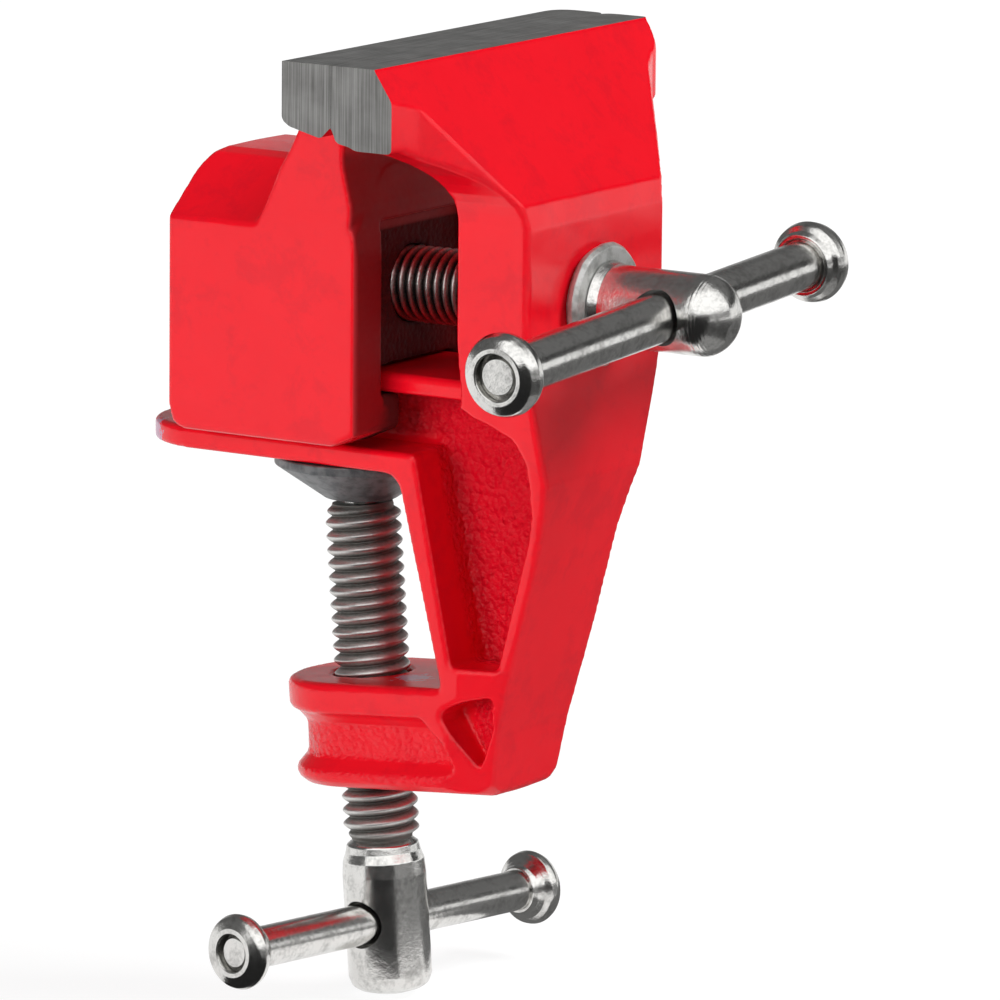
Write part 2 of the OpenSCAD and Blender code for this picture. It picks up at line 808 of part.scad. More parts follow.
// Open spring clip in the lead screw's groove
module retaining_clip() {
    z = column_in - 2 * stack_play - inner_washer_t - clip_t;
    mouth = groove_d * 0.8;
    color("#8e9194")
        on_lead()
            translate([0, 0, z])
                linear_extrude(clip_t)
                    difference() {
                        circle(d = clip_d);
                        circle(d = groove_d + 2 * stack_play);
                        translate([0, -mouth / 2])
                            square([clip_d, mouth]);
                        for (a = [80, 180, 280])
                            rotate(a)
                                translate([groove_d / 2 + 0.2, 0])
                                    circle(1.1, $fn = 32);
                    }
}

// Bar through the lead screw
module lead_bar() {
    color("#c2c4c6")
        on_lead_bar()
            bar(lead_bar_d, lead_bar_l, lead_cap_t);
}

// Cap on the lead bar's near end
module lead_bar_cap_near() {
    color("#c9cbcd")
        on_lead_bar()
            mirror([0, 0, 1])
                cap(lead_cap_d, lead_bar_d, lead_bar_l, lead_cap_t, 1.6, 0.2);
}

// Cap on the lead bar's far end
module lead_bar_cap_far() {
    color("#c9cbcd")
        on_lead_bar()
            cap(lead_cap_d, lead_bar_d, lead_bar_l, lead_cap_t, 1.6, 0.2);
}

// Clamp screw: riveted head, neck in the pad, thread and plain end
module clamp_screw() {
    end = clamp_boss + clamp_boss_l - 1.7;
    thread_end = clamp_boss - 1.7;
    head = pivot_drop + rivet_d / 2 * sin(clamp_lean) + 0.06;
    color("#a9acb0")
        difference() {
            union() {
                on_clamp()
                    rotate_extrude()
                        polygon([[0, -head - 0.6], [rivet_d / 2 - 0.4, -head - 0.6], [rivet_d / 2, -head - 0.3],
                            [rivet_d / 2, -head], [neck_d / 2, -head], [neck_d / 2, clamp_shoulder],
                            [clamp_root_d / 2, clamp_shoulder], [clamp_root_d / 2, thread_end],
                            [thread_d / 2 - 0.1, thread_end + 0.5], [thread_d / 2, thread_end + 1.2],
                            [clamp_boss_d / 2, clamp_boss], [clamp_boss_d / 2, end - 1.8],
                            [clamp_boss_d / 2 - 0.3, end - 1], [clamp_boss_d / 2 - 1.1, end - 0.4],
                            [clamp_boss_d / 2 - 2.4, end], [0, end]]);
                on_clamp()
                    ridge(clamp_shoulder, thread_end - 0.3, clamp_pitch, clamp_root_d);
            }
            on_clamp_bar()
                bar_hole(clamp_bar_d, clamp_boss_d);
        }
}

// Cone-shaped pad that swivels on the clamp screw and presses on the bench
module swivel_pad() {
    top = -pad_gap;
    hole = neck_d / 2 + 0.25;
    color("#5c5f62")
        rotate_extrude($fn = 96)
            polygon([[hole, top - pad_h], [pad_foot_d / 2, top - pad_h], [pad_d / 2, top - pad_rim_h],
                [pad_d / 2, top], [pad_d / 2 - 1.4, top], [pad_d / 2 - 2, top - 0.7],
                [rivet_d / 2 + 1, top - pad_hollow], [hole, top - pad_hollow]]);
}

// Bar through the clamp screw
module clamp_bar() {
    color("#c2c4c6")
        on_clamp_bar()
            bar(clamp_bar_d, clamp_bar_l, clamp_cap_t);
}

// Cap on the clamp bar's near end
module clamp_bar_cap_near() {
    color("#c9cbcd")
        on_clamp_bar()
            mirror([0, 0, 1])
                cap(clamp_cap_d, clamp_bar_d, clamp_bar_l, clamp_cap_t, 1.1, 0.9);
}

// Cap on the clamp bar's far end
module clamp_bar_cap_far() {
    color("#c9cbcd")
        on_clamp_bar()
            cap(clamp_cap_d, clamp_bar_d, clamp_bar_l, clamp_cap_t, 1.1, 0.9);
}

frame();
moving_jaw();
lead_screw();
outer_washer();
inner_washer();
retaining_clip();
lead_bar();
lead_bar_cap_near();
lead_bar_cap_far();
clamp_screw();
swivel_pad();
clamp_bar();
clamp_bar_cap_near();
clamp_bar_cap_far();
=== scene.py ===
"""Dressed model of a mini bench vise.

Two enamelled castings, two plated screws with their sliding bars, washers, a spring clip and a
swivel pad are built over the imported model, which keeps the frame, the joints and the solids.
All sizes are in millimetres in the model's own frame: the origin is where the clamp screw meets
the seat, +X runs along the lead screw towards its handle, +Y across the jaws, and +Z is up.
"""
from __future__ import annotations

import json
import logging
import math
from dataclasses import asdict, dataclass
from enum import Enum
from typing import Optional, Sequence, Union

import bmesh
import bpy
from mathutils import Matrix, Vector, noise
from mathutils.bvhtree import BVHTree

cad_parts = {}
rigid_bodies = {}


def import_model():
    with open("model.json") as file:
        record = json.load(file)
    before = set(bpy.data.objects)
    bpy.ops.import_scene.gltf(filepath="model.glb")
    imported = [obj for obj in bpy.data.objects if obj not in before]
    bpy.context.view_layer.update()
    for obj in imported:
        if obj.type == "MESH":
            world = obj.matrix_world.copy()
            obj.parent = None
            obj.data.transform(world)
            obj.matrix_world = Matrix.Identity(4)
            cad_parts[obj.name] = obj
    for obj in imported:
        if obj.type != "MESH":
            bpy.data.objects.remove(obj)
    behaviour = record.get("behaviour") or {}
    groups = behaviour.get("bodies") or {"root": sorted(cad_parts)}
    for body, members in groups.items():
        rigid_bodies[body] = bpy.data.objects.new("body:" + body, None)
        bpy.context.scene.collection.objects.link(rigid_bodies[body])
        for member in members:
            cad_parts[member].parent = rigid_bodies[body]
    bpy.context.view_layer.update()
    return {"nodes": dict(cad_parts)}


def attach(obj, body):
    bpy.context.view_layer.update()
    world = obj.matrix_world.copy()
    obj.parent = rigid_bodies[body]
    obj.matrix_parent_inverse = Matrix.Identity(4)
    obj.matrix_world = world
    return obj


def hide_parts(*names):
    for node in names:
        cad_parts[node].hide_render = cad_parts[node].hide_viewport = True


for left_over in list(bpy.data.objects):
    bpy.data.objects.remove(left_over, do_unlink=True)
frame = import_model()

LOG = logging.getLogger("bench_vise")
MM = 0.001
TO_METRES = Matrix.Scale(MM, 4)
STILL = Matrix.Identity(4)
WHITE = (1.0, 1.0, 1.0, 1.0)

Point = tuple[float, float, float]
Span = tuple[float, float]
ProfilePoint = Union[tuple[float, float], tuple[float, float, float]]
Mesh = bmesh.types.BMesh
Piece = bpy.types.Object
Material = bpy.types.Material
Socket = bpy.types.NodeSocket
Value = Union[Socket, float]


# Shared tools

def hex_linear(code: str) -> tuple[float, float, float, float]:
    """Turns an sRGB hex colour into a linear one.

    Args:
        code: Colour such as "#C81020".

    Returns:
        Red, green, blue and alpha, linear.
    """
    parts = [int(code[i:i + 2], 16) / 255 for i in (1, 3, 5)]
    linear = [p / 12.92 if p <= 0.04045 else ((p + 0.055) / 1.055) ** 2.4 for p in parts]
    return (linear[0], linear[1], linear[2], 1.0)


def add_node(tree: bpy.types.NodeTree, kind: str, settings: Optional[dict] = None,
             links: Optional[dict] = None) -> bpy.types.Node:
    """Adds a node with its settings and fills its inputs.

    Args:
        tree: Node tree that gets the node.
        kind: Blender's name for the node.
        settings: Properties of the node by name.
        links: Inputs by name or number, each a socket to link from or a constant.

    Returns:
        The new node.
    """
    node = tree.nodes.new(kind)
    for name, value in (settings or {}).items():
        setattr(node, name, value)
    for name, value in (links or {}).items():
        if isinstance(value, bpy.types.NodeSocket):
            tree.links.new(value, node.inputs[name])
        else:
            node.inputs[name].default_value = value
    return node


@dataclass
class Sketch:
    """A node tree in the making, with one short call for each thing drawn often."""

    tree: bpy.types.NodeTree

    def attribute(self, name: str) -> Socket:
        """Reads a number that the mesh carries.

        Args:
            name: Name of the attribute.

        Returns:
            Its value.
        """
        return add_node(self.tree, "ShaderNodeAttribute", {"attribute_name": name}).outputs["Fac"]

    def noise(self, spot: Socket, scale: float, detail: float, roughness: float = 0.5,
              distortion: float = 0.0) -> Socket:
        """Draws a noise.

        Args:
            spot: Position in millimetres.
            scale: Patches per millimetre.
            detail: Octaves.
            roughness: Weight of the fine octaves.
            distortion: How far the patches are pulled about.

        Returns:
            The noise, from 0 to 1.
        """
        return add_node(self.tree, "ShaderNodeTexNoise", links={
            "Vector": spot, "Scale": scale, "Detail": detail, "Roughness": roughness,
            "Distortion": distortion}).outputs["Fac"]

    def calc(self, operation: str, *values: Value) -> Socket:
        """Works out a number.

        Args:
            operation: Blender's name for the operation.
            values: Sockets or constants that go in.

        Returns:
            The result.
        """
        return add_node(self.tree, "ShaderNodeMath", {"operation": operation},
                        dict(enumerate(values))).outputs[0]

    def spread(self, value: Value, source: tuple[Value, Value], target: Span = (0.0, 1.0),
               style: str = "LINEAR") -> Socket:
        """Maps one range of a value to another, held at its ends.

        Args:
            value: Value to map.
            source: Range that the value comes from.
            target: Range that it goes to.
            style: Blender's name for the easing.

        Returns:
            The mapped value.
        """
        return add_node(self.tree, "ShaderNodeMapRange", {"interpolation_type": style}, {
            "Value": value, "From Min": source[0], "From Max": source[1],
            "To Min": target[0], "To Max": target[1]}).outputs["Result"]

    def blend(self, factor: Socket, first: Union[Socket, str], second: str) -> Socket:
        """Mixes two colours.

        Args:
            factor: 0 for the first colour, 1 for the second.
            first: Socket or hex code.
            second: Hex code.

        Returns:
            The mixed colour.
        """
        base = hex_linear(first) if isinstance(first, str) else first
        return add_node(self.tree, "ShaderNodeMix", {"data_type": "RGBA"}, {
            "Factor": factor, "A": base, "B": hex_linear(second)}).outputs["Result"]

    def bump(self, height: Socket, distance: float, under: Optional[Socket] = None) -> Socket:
        """Bends the shading by a height.

        Args:
            height: Height from 0 to 1.
            distance: Height of 1 in millimetres.
            under: Bent normal that this one goes over.

        Returns:
            The bent normal.
        """
        inputs = {"Height": height, "Distance": distance * MM, "Strength": 1.0}
        if under is not None:
            inputs["Normal"] = under
        return add_node(self.tree, "ShaderNodeBump", links=inputs).outputs["Normal"]


def cleared(owner: Union[Material, bpy.types.World]) -> bpy.types.NodeTree:
    """Empties a material's or world's node tree.

    Args:
        owner: Material or world.

    Returns:
        Its empty tree.
    """
    owner.use_nodes = True
    owner.node_tree.nodes.clear()
    return owner.node_tree


def ease(value: float, start: float, full: float) -> float:
    """Eases a value from 0 to 1.

    Args:
        value: Value to ease.
        start: Where the result leaves 0.
        full: Where the result reaches 1, above or below the start.

    Returns:
        Eased value from 0 to 1.
    """
    part = min(1.0, max(0.0, (value - start) / (full - start)))
    return part * part * (3 - 2 * part)


def as_object(name: str, mesh: Mesh, place: Matrix = STILL,
              materials: Sequence[Material] = ()) -> Piece:
    """Makes an object of a mesh and links it to the scene.

    Args:
        name: Name of the object and its mesh.
        mesh: Mesh, which is used up.
        place: Placement that goes into the mesh.
        materials: Materials of the object.

    Returns:
        The new object, at the origin.
    """
    data = bpy.data.meshes.new(name)
    mesh.to_mesh(data)
    mesh.free()
    data.transform(place)
    for material in materials:
        data.materials.append(material)
    made = bpy.data.objects.new(name, data)
    bpy.context.scene.collection.objects.link(made)
    return made


def add_modifier(work: Piece, kind: str, **settings: object) -> bpy.types.Modifier:
    """Adds a modifier to an object.

    Args:
        work: Object that gets the modifier.
        kind: Blender's name for the modifier.
        settings: Properties of the modifier by name.

    Returns:
        The modifier.
    """
    modifier = work.modifiers.new(kind, kind)
    for name, value in settings.items():
        setattr(modifier, name, value)
    return modifier


def discard(work: Piece) -> None:
    """Removes an object and its mesh.

    Args:
        work: Object that has done its work.
    """
    used = work.data
    bpy.data.objects.remove(work)
    bpy.data.meshes.remove(used)


def taken(work: Piece) -> Mesh:
    """Takes the mesh that an object's modifiers make, and removes the object.

    Args:
        work: Object with its modifiers.

    Returns:
        The mesh they make.
    """
    graph = bpy.context.evaluated_depsgraph_get()
    made = bpy.data.meshes.new_from_object(work.evaluated_get(graph))
    result = bmesh.new()
    result.from_mesh(made)
    discard(work)
    bpy.data.meshes.remove(made)
    return result


def cad_copy(node: str, merge: float = 0.002) -> Mesh:
    """Copies a CAD node's mesh, merged, in millimetres.

    Args:
        node: Name of the node.
        merge: Distance under which points become one.

    Returns:
        The closed mesh.
    """
    mesh = bmesh.new()
    mesh.from_mesh(frame["nodes"][node].data)
    bmesh.ops.transform(mesh, matrix=TO_METRES.inverted(), verts=mesh.verts)
    bmesh.ops.remove_doubles(mesh, verts=mesh.verts, dist=merge)
    return mesh


def rounded(profile: Sequence[ProfilePoint], closed: bool = False, steps: int = 6) -> list[Span]:
    """Rounds the corners of a lathe profile.

    Args:
        profile: Points of radius and height, each with an optional corner radius.
        closed: Whether the profile is a closed outline.
        steps: Faces along each rounded corner.

    Returns:
        Points of radius and height with an arc at each rounded corner.
    """
    longest_cut, holding_edge, room = 0.46, 0.05, 0.25
    count = len(profile)
    result: list[Span] = []
    for i, point in enumerate(profile):
        corner = Vector(point[:2])
        fillet = point[2] if len(point) > 2 else 0.0
        inner = closed or 0 < i < count - 1
        if not inner or fillet <= 0:
            result.append((corner.x, corner.y))
            continue
        before = Vector(profile[i - 1][:2]) - corner
        after = Vector(profile[(i + 1) % count][:2]) - corner
        turn = math.pi - before.angle(after)
        cut = min(fillet * math.tan(turn / 2), longest_cut * before.length, longest_cut * after.length)
        first = corner + before.normalized() * cut
        last = corner + after.normalized() * cut
        if before.length > cut + room:
            result.append(tuple(first + before.normalized() * holding_edge))
        for k in range(steps + 1):
            s = k / steps
            spot = first * (1 - s) ** 2 + corner * (2 * s * (1 - s)) + last * s ** 2
            result.append((spot.x, spot.y))
        if after.length > cut + room:
            result.append(tuple(last + after.normalized() * holding_edge))
    return result


def revolve(profile: Sequence[Span], steps: int = 96, ring: bool = False) -> Mesh:
    """Turns a profile about the Z axis.

    Args:
        profile: Points of radius and height. A radius of 0 is a pole.
        steps: Faces round the axis.
        ring: Whether the profile is a closed outline round the axis.

    Returns:
        A closed mesh whose faces point outwards.
    """
    mesh = bmesh.new()
    angles = [2 * math.pi * k / steps for k in range(steps)]
    rows = []
    for radius, height in profile:
        turns = angles if radius >= 1e-6 else [0.0]
        rows.append([mesh.verts.new((radius * math.cos(a), radius * math.sin(a), height))
                     for a in turns])
    pairs = list(zip(rows, rows[1:] + rows[:1])) if ring else list(zip(rows, rows[1:]))
    for low, high in pairs:
        for k in range(steps):
            n = (k + 1) % steps
            corners = [low[k % len(low)], low[n % len(low)], high[n % len(high)], high[k % len(high)]]
            unique = list(dict.fromkeys(corners))
            if len(unique) > 2:
                mesh.faces.new(unique)
    bmesh.ops.recalc_face_normals(mesh, faces=mesh.faces)
    return mesh


def mark_edges(mesh: Mesh, angle: float = 38.0) -> None:
    """Shades a mesh smooth, apart from edges that bend more than an angle.

    Args:
        mesh: Mesh to shade.
        angle: Bend in degrees past which an edge stays sharp.
    """
    limit = math.radians(angle)
    for face in mesh.faces:
        face.smooth = True
    for edge in mesh.edges:
        edge.smooth = edge.calc_face_angle(0.0) < limit


def joined(name: str, parts: Sequence[tuple[Mesh, int]], place: Matrix,
           materials: Sequence[Material]) -> Piece:
    """Joins meshes made in millimetres into one piece in its place.

    Args:
        name: Name of the piece.
        parts: Meshes, each with the number of its material.
        place: Placement in millimetres.
        materials: Materials of the piece.

    Returns:
        The piece, at the origin, with its place in its mesh.
    """
    whole = bmesh.new()
    scratch = bpy.data.meshes.new("scratch")
    for part, number in parts:
        for face in part.faces:
            face.material_index = number
        part.to_mesh(scratch)
        part.free()
        whole.from_mesh(scratch)
    bpy.data.meshes.remove(scratch)
    return as_object(name, whole, TO_METRES @ place, materials)


def hand_over(piece: Piece, node: str, body: str, slot: str) -> None:
    """Lets a piece stand for a CAD node and ride on its body.

    Args:
        piece: Finished piece.
        node: CAD node that it replaces.
        body: CAD body that carries it.
        slot: Not used.
    """
    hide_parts(node)
    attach(piece, body)
    triangles = sum(len(p.vertices) - 2 for p in piece.data.polygons)
    LOG.info("%s stands for %s on %s, %d triangles", piece.name, node, body, triangles)


# Finishes

@dataclass(frozen=True)
class Finish:
    """A surface finish, made as one procedural material."""

    name: str

    def build(self) -> Material:
        """Makes the material.

        Returns:
            The new material.
        """
        material = bpy.data.materials.new(self.name)
        tree = cleared(material)
        place = add_node(tree, "ShaderNodeTexCoord").outputs["Object"]
        spot = add_node(tree, "ShaderNodeMapping", links={
            "Vector": place, "Scale": (1 / MM, 1 / MM, 1 / MM)}).outputs["Vector"]
        shader = add_node(tree, "ShaderNodeBsdfPrincipled", links=self.looks(Sketch(tree), spot))
        add_node(tree, "ShaderNodeOutputMaterial", links={"Surface": shader.outputs["BSDF"]})
        return material

    def looks(self, draw: Sketch, spot: Socket) -> dict[str, Value]:
        """Draws the finish.

        Args:
            draw: Sketch of the material's tree.
            spot: Position on the object in millimetres.

        Returns:
            The Principled shader's inputs by name.
        """
        raise NotImplementedError


@dataclass(frozen=True)
class WearAndSheenSpot:
    """A pale lilac spot on the enamel, used for primer where it is rubbed through and for a painted
    reflection.
    """

    centre: Point
    reach: float


@dataclass(frozen=True)
class StovedEnamel(Finish):
    """Stoved gloss enamel on as-cast iron.

    Dipped and baked over an unfilled casting, so it shows a soft orange peel on flat walls and the
    sand's coarse grain in the hollows, where the red is painted a little darker as shade. Between
    the jaws the red is painted dark as shade, and the coat is made rougher there.
    """

    colour: str = "#F20A20"
    deep: str = "#E6051C"
    # The hollows' darker red is painted shade over the sand's grain
    hollow: str = "#DC0A22"
    # Dark red painted as shade between the jaws
    thin: str = "#5A0206"
    pool: str = "#B20C22"
    # Pale lilac: primer where the enamel is rubbed through, and a painted reflection on the arm's top
    primer: str = "#B9A9C6"
    blotches: float = 0.2
    bared: float = 0.75
    roughness: float = 0.22
    dryness: float = 0.55
    sand_scale: float = 1.6
    wander_height: float = 0.16
    peel_height: float = 0.012
    sand_height: float = 0.5
    ior: float = 1.46
    spots: tuple[WearAndSheenSpot, ...] = ()

    def coat(self, draw: Sketch, spot: Socket, sand: Socket, thin: Socket) -> Socket:
        """Draws the enamel's colour.

        Args:
            draw: Sketch of the material's tree.
            spot: Position on the object in millimetres.
            sand: How coarse the casting is, which also sets the shade painted in its hollows.
            thin: How much shade is painted between the jaws.

        Returns:
            The colour.
        """
        # Colour drifts over 9 mm or so, as a dipped coat does
        colour = draw.blend(draw.noise(spot, 0.11, 3.0), self.deep, self.colour)
        # Puddles of the dip, 5 mm across with ragged rims, cured darker where the coat lies thick
        puddles = draw.noise(spot, 0.2, 8.0, 0.72, 0.2)
        colour = draw.blend(draw.spread(puddles, (0.5, 0.62), (0.0, self.blotches)), colour, self.pool)
        # Painted shade: the coarse hollows take a darker red
        colour = draw.blend(sand, colour, self.hollow)
        # Painted shade: the faces between the jaws turn dark red
        colour = draw.blend(thin, colour, self.thin)
        # Pale lilac spots: primer where the enamel is rubbed through, and painted reflections
        for worn in self.spots:
            away = add_node(draw.tree, "ShaderNodeVectorMath", {"operation": "DISTANCE"}, {
                0: spot, 1: worn.centre}).outputs["Value"]
            ragged = draw.noise(spot, 1.3, 5.0, 0.7)
            edge = draw.calc("MULTIPLY_ADD", ragged, 2.2 * worn.reach, away)
            rim = (1.72 * worn.reach, 1.62 * worn.reach)
            colour = draw.blend(draw.spread(edge, rim, (0.0, self.bared)), colour, self.primer)
        return colour

    def looks(self, draw: Sketch, spot: Socket) -> dict[str, Value]:
        """Draws the finish.

        Args:
            draw: Sketch of the material's tree.
            spot: Position on the object in millimetres.

        Returns:
            The Principled shader's inputs by name.
        """
        # The mesh carries the sand's grain, which also places painted shade, and the shade painted
        # between the jaws
        sand, thin = draw.attribute("sand"), draw.attribute("thin")
        # Grains of moulding sand are 0.3 to 0.6 mm, drawn as cells and noise
        grain = draw.noise(spot, self.sand_scale, 4.0, 0.62)
        cells = add_node(draw.tree, "ShaderNodeTexVoronoi", {"feature": "SMOOTH_F1"}, {
            "Vector": spot, "Scale": self.sand_scale, "Smoothness": 0.4}).outputs["Distance"]
        scabs = draw.calc("MULTIPLY", draw.calc("MULTIPLY_ADD", cells, -0.8, grain), sand)
        # Hand-dressed walls wander over 6 mm, and orange peel is 2 mm across and microns high
        wall = draw.bump(draw.noise(spot, 0.17, 1.0), self.wander_height)
        peeled = draw.bump(draw.noise(spot, 0.5, 1.0), self.peel_height, wall)
        gloss = draw.spread(grain, (0.3, 0.7), (self.roughness - 0.03, self.roughness + 0.05))
        return {"Base Color": self.coat(draw, spot, sand, thin),
                "Roughness": draw.calc("MULTIPLY_ADD", thin, self.dryness, gloss),
                "Normal": draw.bump(scabs, self.sand_height, peeled), "IOR": self.ior}


class Stroke(Enum):
    """Which way a belt or wheel ran over a ground face, as the pattern's scale per millimetre."""

    ALONG_Y_AND_Z = (7.0, 0.09, 0.07)
    ALONG_Y = (0.3, 0.08, 6.0)


@dataclass(frozen=True)
class GroundIron(Finish):
    """Cast iron ground bare on a belt.

    The belt leaves long fine lines in one direction, dull grey with brighter and darker streaks.
    """

    colour: str = "#B6B5B3"
    dark: str = "#7C7B79"
    roughness: float = 0.45
    stroke: Stroke = Stroke.ALONG_Y_AND_Z

    def looks(self, draw: Sketch, spot: Socket) -> dict[str, Value]:
        """Draws the finish.

        Args:
            draw: Sketch of the material's tree.
            spot: Position on the object in millimetres.

        Returns:
            The Principled shader's inputs by name.
        """
        # Grit lines are 0.05 mm apart, drawn 0.15 mm apart so that they show
        drawn = add_node(draw.tree, "ShaderNodeMapping", links={
            "Vector": spot, "Scale": self.stroke.value}).outputs["Vector"]
        lines = draw.noise(drawn, 1.0, 3.0, 0.7)
        level = draw.calc("MULTIPLY_ADD", draw.noise(spot, 0.35, 3.0), 0.35, lines)
        return {"Base Color": draw.blend(draw.spread(level, (0.46, 0.88)), self.dark, self.colour),
                "Normal": draw.bump(lines, 0.03), "Metallic": 1.0, "Roughness": self.roughness}


@dataclass(frozen=True)
class BarrelPlate(Finish):
    """Nickel plated in a barrel over turned steel.

    Bright and slightly yellow-grey, with the small dents and the mottle of parts that tumbled
    together.
    """

    colour: str = "#DEDDDA"
    dull: str = "#BCBBB8"
    roughness: float = 0.2

    def looks(self, draw: Sketch, spot: Socket) -> dict[str, Value]:
        """Draws the finish.

        Args:
            draw: Sketch of the material's tree.
            spot: Position on the object in millimetres.

        Returns:
            The Principled shader's inputs by name.
        """
        # Tumbling dents run from 0.6 mm down to specks, and are microns deep
        dents = draw.noise(spot, 2.0, 3.0, 0.72)
        cloud = draw.noise(spot, 0.5, 4.0)
        tone = draw.spread(draw.calc("MULTIPLY_ADD", dents, 0.6, cloud), (0.56, 0.86))
        gloss = draw.spread(cloud, (0.3, 0.7), (self.roughness + 0.06, self.roughness - 0.04))
        return {"Base Color": draw.blend(tone, self.dull, self.colour), "Roughness": gloss,
                "Normal": draw.bump(dents, 0.02), "Metallic": 1.0}


@dataclass(frozen=True)
class DepthToneThread(Finish):
    """Rolled thread in plated steel, coloured by the depth of its groove.

    Crests are brightest, flanks go grey and the roots are darkest.
    """

    crest: str = "#DCDBD8"
    flank: str = "#BDBCB9"
    root: str = "#84827E"
    roughness: float = 0.42

    def looks(self, draw: Sketch, spot: Socket) -> dict[str, Value]:
        """Draws the finish.

        Args:
            draw: Sketch of the material's tree.
            spot: Position on the object in millimetres.

        Returns:
            The Principled shader's inputs by name.
        """
        specks = draw.noise(spot, 2.6, 4.0, 0.7)
        depth = draw.calc("MULTIPLY_ADD", specks, 0.5, draw.attribute("groove"))
        ramp = add_node(draw.tree, "ShaderNodeValToRGB", links={"Fac": depth})
        stops = ramp.color_ramp.elements
        stops[0].position, stops[0].color = 0.26, hex_linear(self.crest)
        stops[1].position, stops[1].color = 1.0, hex_linear(self.root)
        middle = stops.new(0.62)
        middle.color = hex_linear(self.flank)
        dull = draw.spread(depth, (0.3, 1.0), (self.roughness, self.roughness + 0.2))
        return {"Base Color": ramp.outputs["Color"], "Roughness": dull,
                "Normal": draw.bump(specks, 0.05), "Metallic": 1.0}


@dataclass(frozen=True)
class StampedSteel(Finish):
    """Steel stamped or turned, then tumbled or blacked.

    Evenly grey and dull, with darker stains.
    """

    colour: str = "#BEBFBD"
    stain: str = "#999A97"
    roughness: float = 0.36
    metallic: float = 0.55

    def looks(self, draw: Sketch, spot: Socket) -> dict[str, Value]:
        """Draws the finish.

        Args:
            draw: Sketch of the material's tree.
            spot: Position on the object in millimetres.

        Returns:
            The Principled shader's inputs by name.
        """
        cloud = draw.noise(spot, 0.7, 6.0, 0.6)
        colour = draw.blend(draw.spread(cloud, (0.38, 0.56)), self.stain, self.colour)
        return {"Base Color": colour, "Normal": draw.bump(cloud, 0.05),
                "Metallic": self.metallic, "Roughness": self.roughness}


# Castings

class Skin(Enum):
    """Material numbers of a casting."""

    ENAMEL = 0
    END = 1
    TOP = 2
    JAW_FACE = 3


@dataclass(frozen=True)
class GroundFace:
    """A face of a casting that is ground flat after enamelling."""

    point: Point
    normal: Point
    skin: Skin
    floor: float = -1000.0

    def holds(self, spot: Vector) -> bool:
        """Tells whether a point lies in the region that this face may cut.

        Args:
            spot: Point in millimetres.

        Returns:
            Whether the point is above the region's floor.
        """
        return spot.z > self.floor


@dataclass(frozen=True)
class Bore:
    """A straight bore that keeps its size through the softening of a casting."""

    start: Point
    axis: Point
    radius: float
    low: float
    high: float
    wall: float = 0.4

    def keep(self, spot: Vector) -> Vector:
        """Moves a point of the bore's wall out to the bore's radius.

        Args:
            spot: Point in millimetres.

        Returns:
            The point, moved only where it lies on the bore's wall.
        """
        axis = Vector(self.axis).normalized()
        offset = spot - Vector(self.start)
        along = offset.dot(axis)
        across = offset - axis * along
        near = self.radius - self.wall < across.length < self.radius
        if not (near and self.low < along < self.high):
            return spot
        return spot + across.normalized() * (self.radius - across.length)


